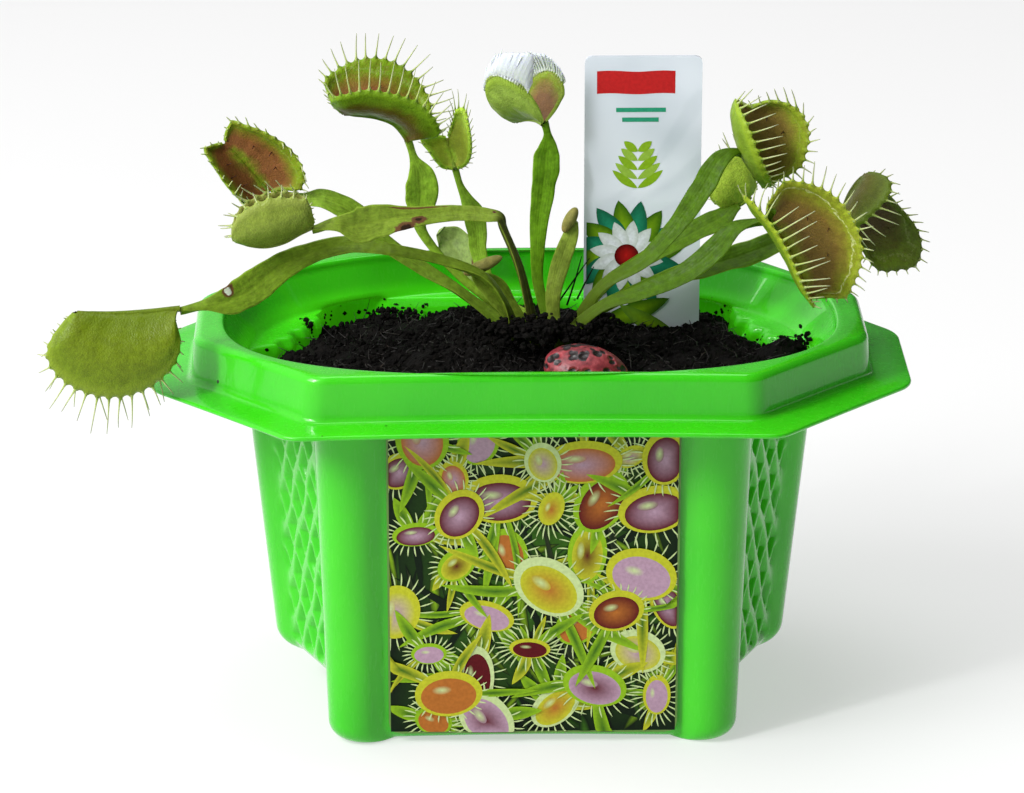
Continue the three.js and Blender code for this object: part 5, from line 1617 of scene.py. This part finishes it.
def trap_finish(name, inside, rim, outside, blush=0.15, glow=0.08, line=0.12):
    finish = Finish(
        name, Roughness=0.4, Specular_IOR_Level=0.14, Subsurface_Weight=glow,
        Subsurface_Radius=(0.7, 1.0, 0.2), Subsurface_Scale=0.0012,
    )
    up, along = finish.uv()
    inner = finish.node("ShaderNodeSeparateColor", {0: finish.tint()}).outputs[0]
    wander = finish.math("ADD", up, finish.span(finish.noise(220, 4, 0.6), 0.2, 0.8, -0.10, 0.10))
    ends = finish.math("ABSOLUTE", finish.math("SUBTRACT", along, 0.5))
    wander = finish.math("ADD", wander, finish.span(ends, 0.3, 0.5, 0.0, 0.30))
    shade = tuple(mix(np.array(inside), np.array(rim), 0.4))
    hollow = finish.ramp(wander, [
        (0.0, rim), (0.04, rim), (0.12, shade), (0.22, inside),
        (0.5, inside), (0.70, shade), (0.82, rim), (1.0, rim),
    ])
    streak = finish.math("SINE", finish.math("MULTIPLY", along, 260.0))
    streaks = finish.span(finish.math("MULTIPLY", streak, finish.noise(500, 2)), 0.1, 0.6, 0.0, 0.12)
    hollow = finish.blend(streaks, hollow, shade_of(inside, 0.6))
    glands = finish.cells(2600)
    hollow = finish.blend(finish.span(glands, 0.15, 0.4, 0.35, 0.0), hollow, shade_of(inside, 1.7))
    fine = finish.span(finish.noise(650, 5, 0.7), 0.35, 0.65)
    hollow = finish.blend(finish.math("MULTIPLY", fine, 0.35), hollow, shade_of(inside, 0.45))
    # A pale beaded line just inside the rim is partly nectar and partly a painted highlight along the margin;
    # line sets how strong it is.
    from_line = finish.math("ABSOLUTE", finish.math("SUBTRACT", wander, 0.84))
    nectar_glint_beads = finish.span(finish.noise(1800, 2), 0.35, 0.6)
    nectar_and_glint = finish.math("MULTIPLY", finish.span(from_line, 0.0, 0.035, line, 0.0), nectar_glint_beads)
    hollow = finish.blend(nectar_and_glint, hollow, NECTAR_AND_GLINT)
    skin = finish.blend(fine, shade_of(outside, 0.82), shade_of(outside, 1.1))
    skin = finish.blend(finish.span(up, 0.0, 0.55, 0.55, 0.0), skin, shade_of(outside, 0.6))
    red = finish.span(finish.math("ABSOLUTE", finish.math("SUBTRACT", wander, 0.45)), 0.05, 0.4, blush, 0.0)
    skin = finish.blend(red, skin, BLUSH_RED)
    skin = finish.blend(finish.span(streak, 0.4, 1.0, 0.0, 0.06), skin, shade_of(outside, 0.65))
    skin = finish.blend(finish.span(up, 0.80, 0.93, 0.0, 0.65), skin, rim)
    colour = finish.blend(inner, skin, hollow)
    pores = finish.bump(glands, 0.12, 0.6)
    folds = finish.bump(finish.noise(420, 4), 0.22, 0.6, pores)
    return finish.done(colour, folds, finish.span(finish.noise(600, 2), 0.3, 0.7, 0.32, 0.5))


# %% [markdown]
# Cilia are green where they leave the margin and paler further up; the held-together ones are nearly white.
# The trigger hairs inside a lobe are dark red.

# %% Finishes of the cilia and the trigger hairs
def cilia_finish(name, root_to_tip):
    finish = Finish(
        name, Roughness=0.4, Specular_IOR_Level=0.2, Subsurface_Weight=0.35,
        Subsurface_Radius=(0.8, 1.0, 0.4), Subsurface_Scale=0.0008,
    )
    _, along = finish.uv()
    uneven = finish.span(finish.noise(300, 2), 0.3, 0.7, -0.1, 0.1)
    colour = finish.ramp(finish.math("ADD", along, uneven), root_to_tip)
    return finish.done(colour, finish.bump(finish.noise(1500, 2), 0.05, 0.4))


CILIA = cilia_finish("pale_cilia", [
    (0.0, (0.12, 0.20, 0.012)), (0.12, (0.30, 0.37, 0.10)),
    (0.5, (0.40, 0.44, 0.22)), (1.0, (0.22, 0.24, 0.15)),
])
WHITE_CILIA = cilia_finish("white_cilia", [
    (0.0, (0.22, 0.30, 0.05)), (0.10, (0.50, 0.56, 0.50)), (1.0, (0.56, 0.62, 0.64)),
])
dark_hair = Finish("dark_triggers", Roughness=0.4)
dark_red = dark_hair.ramp(dark_hair.noise(700), [(0.3, (0.015, 0.006, 0.004)), (0.7, (0.08, 0.02, 0.01))])
TRIGGERS = dark_hair.done(dark_red)

# %% [markdown]
# No two leaves are the same green: the leaves at the right are coloured darker as painted shade, for the
# shade that they stand in; the trap at the back left is coloured lighter as painted light, for the daylight
# that comes through it; and the oldest are the most marked. Each colour is linear, red, green and blue, and
# was set against a render.

# %% Colours of each leaf
OLIVE, PALE, CHAR = (0.05, 0.075, 0.006), (0.24, 0.30, 0.07), (0.012, 0.007, 0.004)
RUST, BLEACHED = (0.12, 0.06, 0.02), (0.60, 0.66, 0.55)
COLOURS = {
    "low_left": dict(stalk=(0.045, 0.062, 0.006), green=(0.125, 0.205, 0.014),
                     scars=[(0.17, 0.855, 0.26, 0.024, BLEACHED)]),
    "kinked_left": dict(stalk=(0.045, 0.052, 0.010), green=(0.15, 0.225, 0.022), olive=(0.40, 0.48),
                        scars=[(0.94, 0.70, 0.30, 0.034, CHAR), (0.66, 0.66, 0.24, 0.022, CHAR),
                               (0.10, 0.66, 0.05, 0.09, RUST), (0.25, 0.447, 0.10, 0.010, CHAR)]),
    "open_left": dict(stalk=OLIVE, green=(0.14, 0.24, 0.018)),
    "tall_left": dict(stalk=(0.11, 0.16, 0.014), green=(0.20, 0.35, 0.025)),
    "back_left": dict(stalk=(0.19, 0.29, 0.025), green=(0.19, 0.34, 0.025)),
    "pale_old": dict(stalk=PALE, green=(0.19, 0.27, 0.07), scars=[(0.2, 0.61, 0.2, 0.05, CHAR)]),
    "young_left": dict(stalk=(0.13, 0.19, 0.018), green=(0.18, 0.27, 0.025)),
    "centre_tall": dict(stalk=(0.15, 0.25, 0.018), green=(0.105, 0.235, 0.008)),
    "centre_small": dict(stalk=(0.17, 0.21, 0.035), green=(0.18, 0.25, 0.03)),
    # The blades at the right are coloured darker as painted shade.
    "right_upper": dict(stalk=OLIVE, green=(0.048, 0.105, 0.003), edge=(0.06, 0.10, 0.005), olive=(0.1, 0.5)),
    "right_pale": dict(stalk=OLIVE, green=(0.055, 0.115, 0.004), edge=(0.07, 0.11, 0.006), olive=(0.1, 0.5)),
    "right_big": dict(stalk=OLIVE, green=(0.045, 0.10, 0.003), edge=(0.06, 0.10, 0.005), olive=(0.1, 0.5)),
    "right_far": dict(stalk=OLIVE, green=(0.05, 0.11, 0.004)),
}
TRAP_COLOURS = {
    "low_left": dict(
        inside=(0.18, 0.06, 0.015), rim=(0.19, 0.27, 0.018),
        outside=(0.125, 0.19, 0.007), blush=0.1,
    ),
    "kinked_left": dict(
        inside=(0.18, 0.06, 0.02), rim=(0.22, 0.27, 0.05),
        outside=(0.18, 0.24, 0.03), blush=0.0,
    ),
    "open_left": dict(inside=(0.23, 0.09, 0.028), rim=(0.19, 0.30, 0.012), outside=(0.16, 0.28, 0.02)),
    "tall_left": dict(
        inside=(0.19, 0.07, 0.02), rim=(0.16, 0.29, 0.010),
        outside=(0.115, 0.215, 0.008), blush=0.85,
    ),
    # The trap at the back left is coloured lighter as painted light, for the daylight that comes through it.
    "back_left": dict(
        inside=(0.44, 0.50, 0.06), rim=(0.40, 0.62, 0.05),
        outside=(0.34, 0.55, 0.04), glow=0.3,
    ),
    "centre_tall": dict(
        inside=(0.27, 0.14, 0.06), rim=(0.24, 0.36, 0.03),
        outside=(0.26, 0.38, 0.06), blush=0.05,
    ),
    "right_upper": dict(inside=(0.25, 0.17, 0.04), rim=(0.24, 0.34, 0.02), outside=(0.16, 0.26, 0.018)),
    "right_pale": dict(
        inside=(0.22, 0.20, 0.03), rim=(0.28, 0.40, 0.04),
        outside=(0.30, 0.42, 0.04), blush=0.05,
    ),
    "right_big": dict(
        inside=(0.22, 0.14, 0.03), rim=(0.30, 0.38, 0.025),
        outside=(0.15, 0.25, 0.012), line=1.0,
    ),
    "right_far": dict(
        inside=(0.07, 0.05, 0.012), rim=(0.10, 0.16, 0.012),
        outside=(0.10, 0.135, 0.012), blush=0.4,
    ),
}

# %% [markdown]
# ## Growing the plant
# Each leaf becomes a blade and, where it has one, a trap: both lobes and the keel below the hinge as one
# skin, the cilia, and three trigger hairs on each lobe where they can be seen. A young folded trap is a
# ball, drawn out and grooved.

# %% Grow the leaves
BLADE_SEED, TRAP_SEED = 11, 40


def grow_trap(name, trap, draw):
    """Both lobes with their keel, their cilia and their trigger hairs, as pieces."""
    set_outward(trap)
    points, faces, uv, tint = merge([lobe(trap, side) for side in SIDES] + [keel(trap)])
    material = trap_finish(name + "_trap_skin", **TRAP_COLOURS[name])
    piece(name + "_trap", points, faces, material, "leaf", uv=uv, tint=tint)
    parts = []
    for side in SIDES:
        root, way, length, bend = fringe(trap, side, draw)
        parts.append(hairs(root, way, length, trap.get("hair", 0.18), bend))
    if trap.get("web"):
        parts += [web(trap, side) for side in SIDES]
    points, faces, uv = merge(parts)
    piece(name + "_cilia", points, faces, WHITE_CILIA if trap.get("web") else CILIA, "leaf", uv=uv)
    if trap.get("web") or trap.get("plain"):
        return
    parts = []
    for side in SIDES:
        root, way, length, bend = triggers(trap, side)
        parts.append(hairs(root, way, length, 0.13, bend, flare=1.2))
    points, faces, uv = merge(parts)
    piece(name + "_triggers", points, faces, TRIGGERS, "leaf", uv=uv)


def grow_bud(name, bud):
    """A folded young trap: a ball drawn out from start to end, with a groove along its front."""
    start, end = np.array(bud["start"], float), np.array(bud["end"], float)
    along = unit(end - start)
    aside = unit(np.cross(along, [0.3, 1, 0.2]))
    other = np.cross(along, aside)
    unit_points, faces = ball(28, 24)
    length = np.linalg.norm(end - start) / 2
    groove = 1 - 0.16 * np.exp(-((unit_points[:, 0] / 0.22) ** 2)) * (unit_points[:, 1] < 0)
    points = (start + end) / 2 + unit_points[:, 2:] * along * length
    thickness = unit_points[:, :1] * aside * 0.8 + unit_points[:, 1:2] * other
    points = points + thickness * bud["radius"] * groove[:, None]
    uv = np.column_stack([unit_points[:, 0] / 2 + 0.5, unit_points[:, 2] / 2 + 0.5])
    material = blade_finish(name + "_bud_skin", (0.26, 0.20, 0.06), (0.20, 0.19, 0.05))
    piece(name + "_bud", points, faces, material, "leaf", uv=uv)


for number, (name, leaf) in enumerate(LEAVES.items()):
    x, y, width = leaf["stem"]
    stops = [(x, y, z, width, 0, -1, 0) for z in (STEM_BOTTOM, STEM_TOP)] + leaf["blade"]
    points, faces, uv = sweep(stops, seed=BLADE_SEED + number)
    skin = blade_finish(name + "_skin", **COLOURS[name])
    piece(name + "_blade", points, faces, skin, "leaf", ["leaf_" + name], uv=uv)
    if name in TRAPS:
        grow_trap(name, TRAPS[name], np.random.default_rng(TRAP_SEED + number))
    if "bud" in leaf:
        grow_bud(name, leaf["bud"])

# %% [markdown]
# ## Crumbs and fibres of peat
# What makes peat look like peat is its broken surface. Crumbs are small dented balls, dropped at random and
# evenly over the bed, and fused into one object so that the scene stays light.

# %% Scatter crumbs
RNG = np.random.default_rng(7)
CRUMBS = 4200
BED_SHARE = 0.97


def scatter(count, draw):
    """Places spread evenly over the bed, as far out as a share of its edge."""
    turn = draw.uniform(0, math.tau, count)
    share = np.sqrt(draw.uniform(0, 1, count)) * BED_SHARE
    edge_here = np.interp(turn, ANGLES, edge_radius, period=math.tau)
    return np.cos(turn) * edge_here * share, np.sin(turn) * edge_here * share


def crumb_mesh(places, sizes, draw):
    """One mesh of a small dented ball at each place."""
    form, faces = ball(5, 7)
    points, all_faces = [], []
    for place, size in zip(places, sizes):
        stretch = draw.uniform(0.6, 1.4, 3) * size
        lumpy = form * draw.uniform(0.75, 1.25, (len(form), 1)) * stretch
        all_faces += [[v + len(points) for v in f] for f in faces]
        points += list(lumpy + place)
    return points, all_faces


x, y = scatter(CRUMBS, RNG)
places = np.column_stack([x, y, bed_height(x, y) + 0.1])
sizes = RNG.uniform(0.25, 0.75, CRUMBS)
piece("peat_crumbs", *crumb_mesh(places, sizes, RNG), PEAT, "peat", smooth=False)

# %% [markdown]
# Some crumbs lie heaped: against the wall at the right end and at the back left, and on the mound in front
# of the stalks. Others stick to the inner wall, fewer the higher they are.

# %% Heap clumps and stick bits to the wall
CLUMPS = [  # x, y, z, width, height and the number of crumbs
    (53.6, 4.0, 68.0, 2.2, 3.6, 130),
    (-44.5, 20.0, 66.8, 1.8, 3.0, 110),
    (-39.5, 22.0, 66, 3.2, 2.0, 110),
    (-26, 30, 67.5, 6, 1.8, 160),
    (-6, -10, 78.2, 5, 1.8, 190),
    (0.5, -12, 78.8, 5, 2.0, 210),
    (6, -11, 78.4, 4, 1.8, 150),
    (13, -8, 78, 5, 1.4, 120),
]
STUCK_BITS, STUCK_FROM, STUCK_REACH = 260, 66, 3.6
parts = []
for x, y, z, wide, tall, count in CLUMPS:
    spots = np.array([x, y, z]) + RNG.normal(0, 1, (count, 3)) * (wide / 2, wide / 2, tall / 2)
    parts.append(crumb_mesh(spots, RNG.uniform(0.25, 0.7, count), RNG))
turn = RNG.uniform(0, math.tau, STUCK_BITS)
z = STUCK_FROM + STUCK_REACH * RNG.random(STUCK_BITS) ** 2
wall = np.interp(turn, ANGLES, edge_radius, period=math.tau) + 0.15
spots = np.column_stack([np.cos(turn) * wall, np.sin(turn) * wall, z])
parts.append(crumb_mesh(spots, RNG.uniform(0.1, 0.4, STUCK_BITS), RNG))
piece("peat_clumps", *merge(parts), PEAT, "peat", smooth=False)

# %% [markdown]
# Three dark twigs stand behind the stalks, and short bent fibres lie over the whole bed.

# %% Stand twigs and lay fibres
FIBRES = 1500
FLATNESS = (1, 1, 0.35)
TWIGS = [  # x, y, z of the foot, then of the tip
    (8.0, 12.0, 79.5, 11.6, 13.0, 84.8),
    (9.2, 12.0, 80.5, 11.0, 12.0, 86.0),
    (11.0, 12.5, 79.8, 12.6, 13.5, 83.0),
]
foot = np.array([t[:3] for t in TWIGS])
reach = np.array([t[3:] for t in TWIGS]) - foot
long = np.linalg.norm(reach, axis=1) * 1.9
bent = RNG.normal(0, 0.5, (len(TWIGS), 3))
points, faces, uv = hairs(foot - reach * 0.9, reach, long, 0.22, bent, flare=1.0)
piece("peat_twigs", points, faces, PEAT, "peat")


def fibre_mesh(places, lengths, draw):
    """One mesh of a short bent hair at each place, lying nearly flat."""
    ways = draw.normal(0, 1, (len(places), 3)) * FLATNESS
    bends = draw.normal(0, 0.5, (len(places), 3)) * np.asarray(lengths)[:, None]
    return hairs(places, ways, lengths, 0.13, bends, sides=3, steps=5, flare=1.0)


def fibre_finish():
    finish = Finish("peat_fibre", Roughness=0.6)
    colour = finish.ramp(finish.noise(400, 2), [
        (0.35, (0.002, 0.0015, 0.001)), (0.62, (0.009, 0.005, 0.003)), (0.8, (0.05, 0.028, 0.015)),
    ])
    return finish.done(colour, finish.bump(finish.noise(2000, 2), 0.05, 0.5))


x, y = scatter(FIBRES, RNG)
places = np.column_stack([x, y, bed_height(x, y) + 0.35])
points, faces, uv = fibre_mesh(places, RNG.uniform(0.8, 2.8, FIBRES), RNG)
piece("peat_fibres", points, faces, fibre_finish(), "peat")
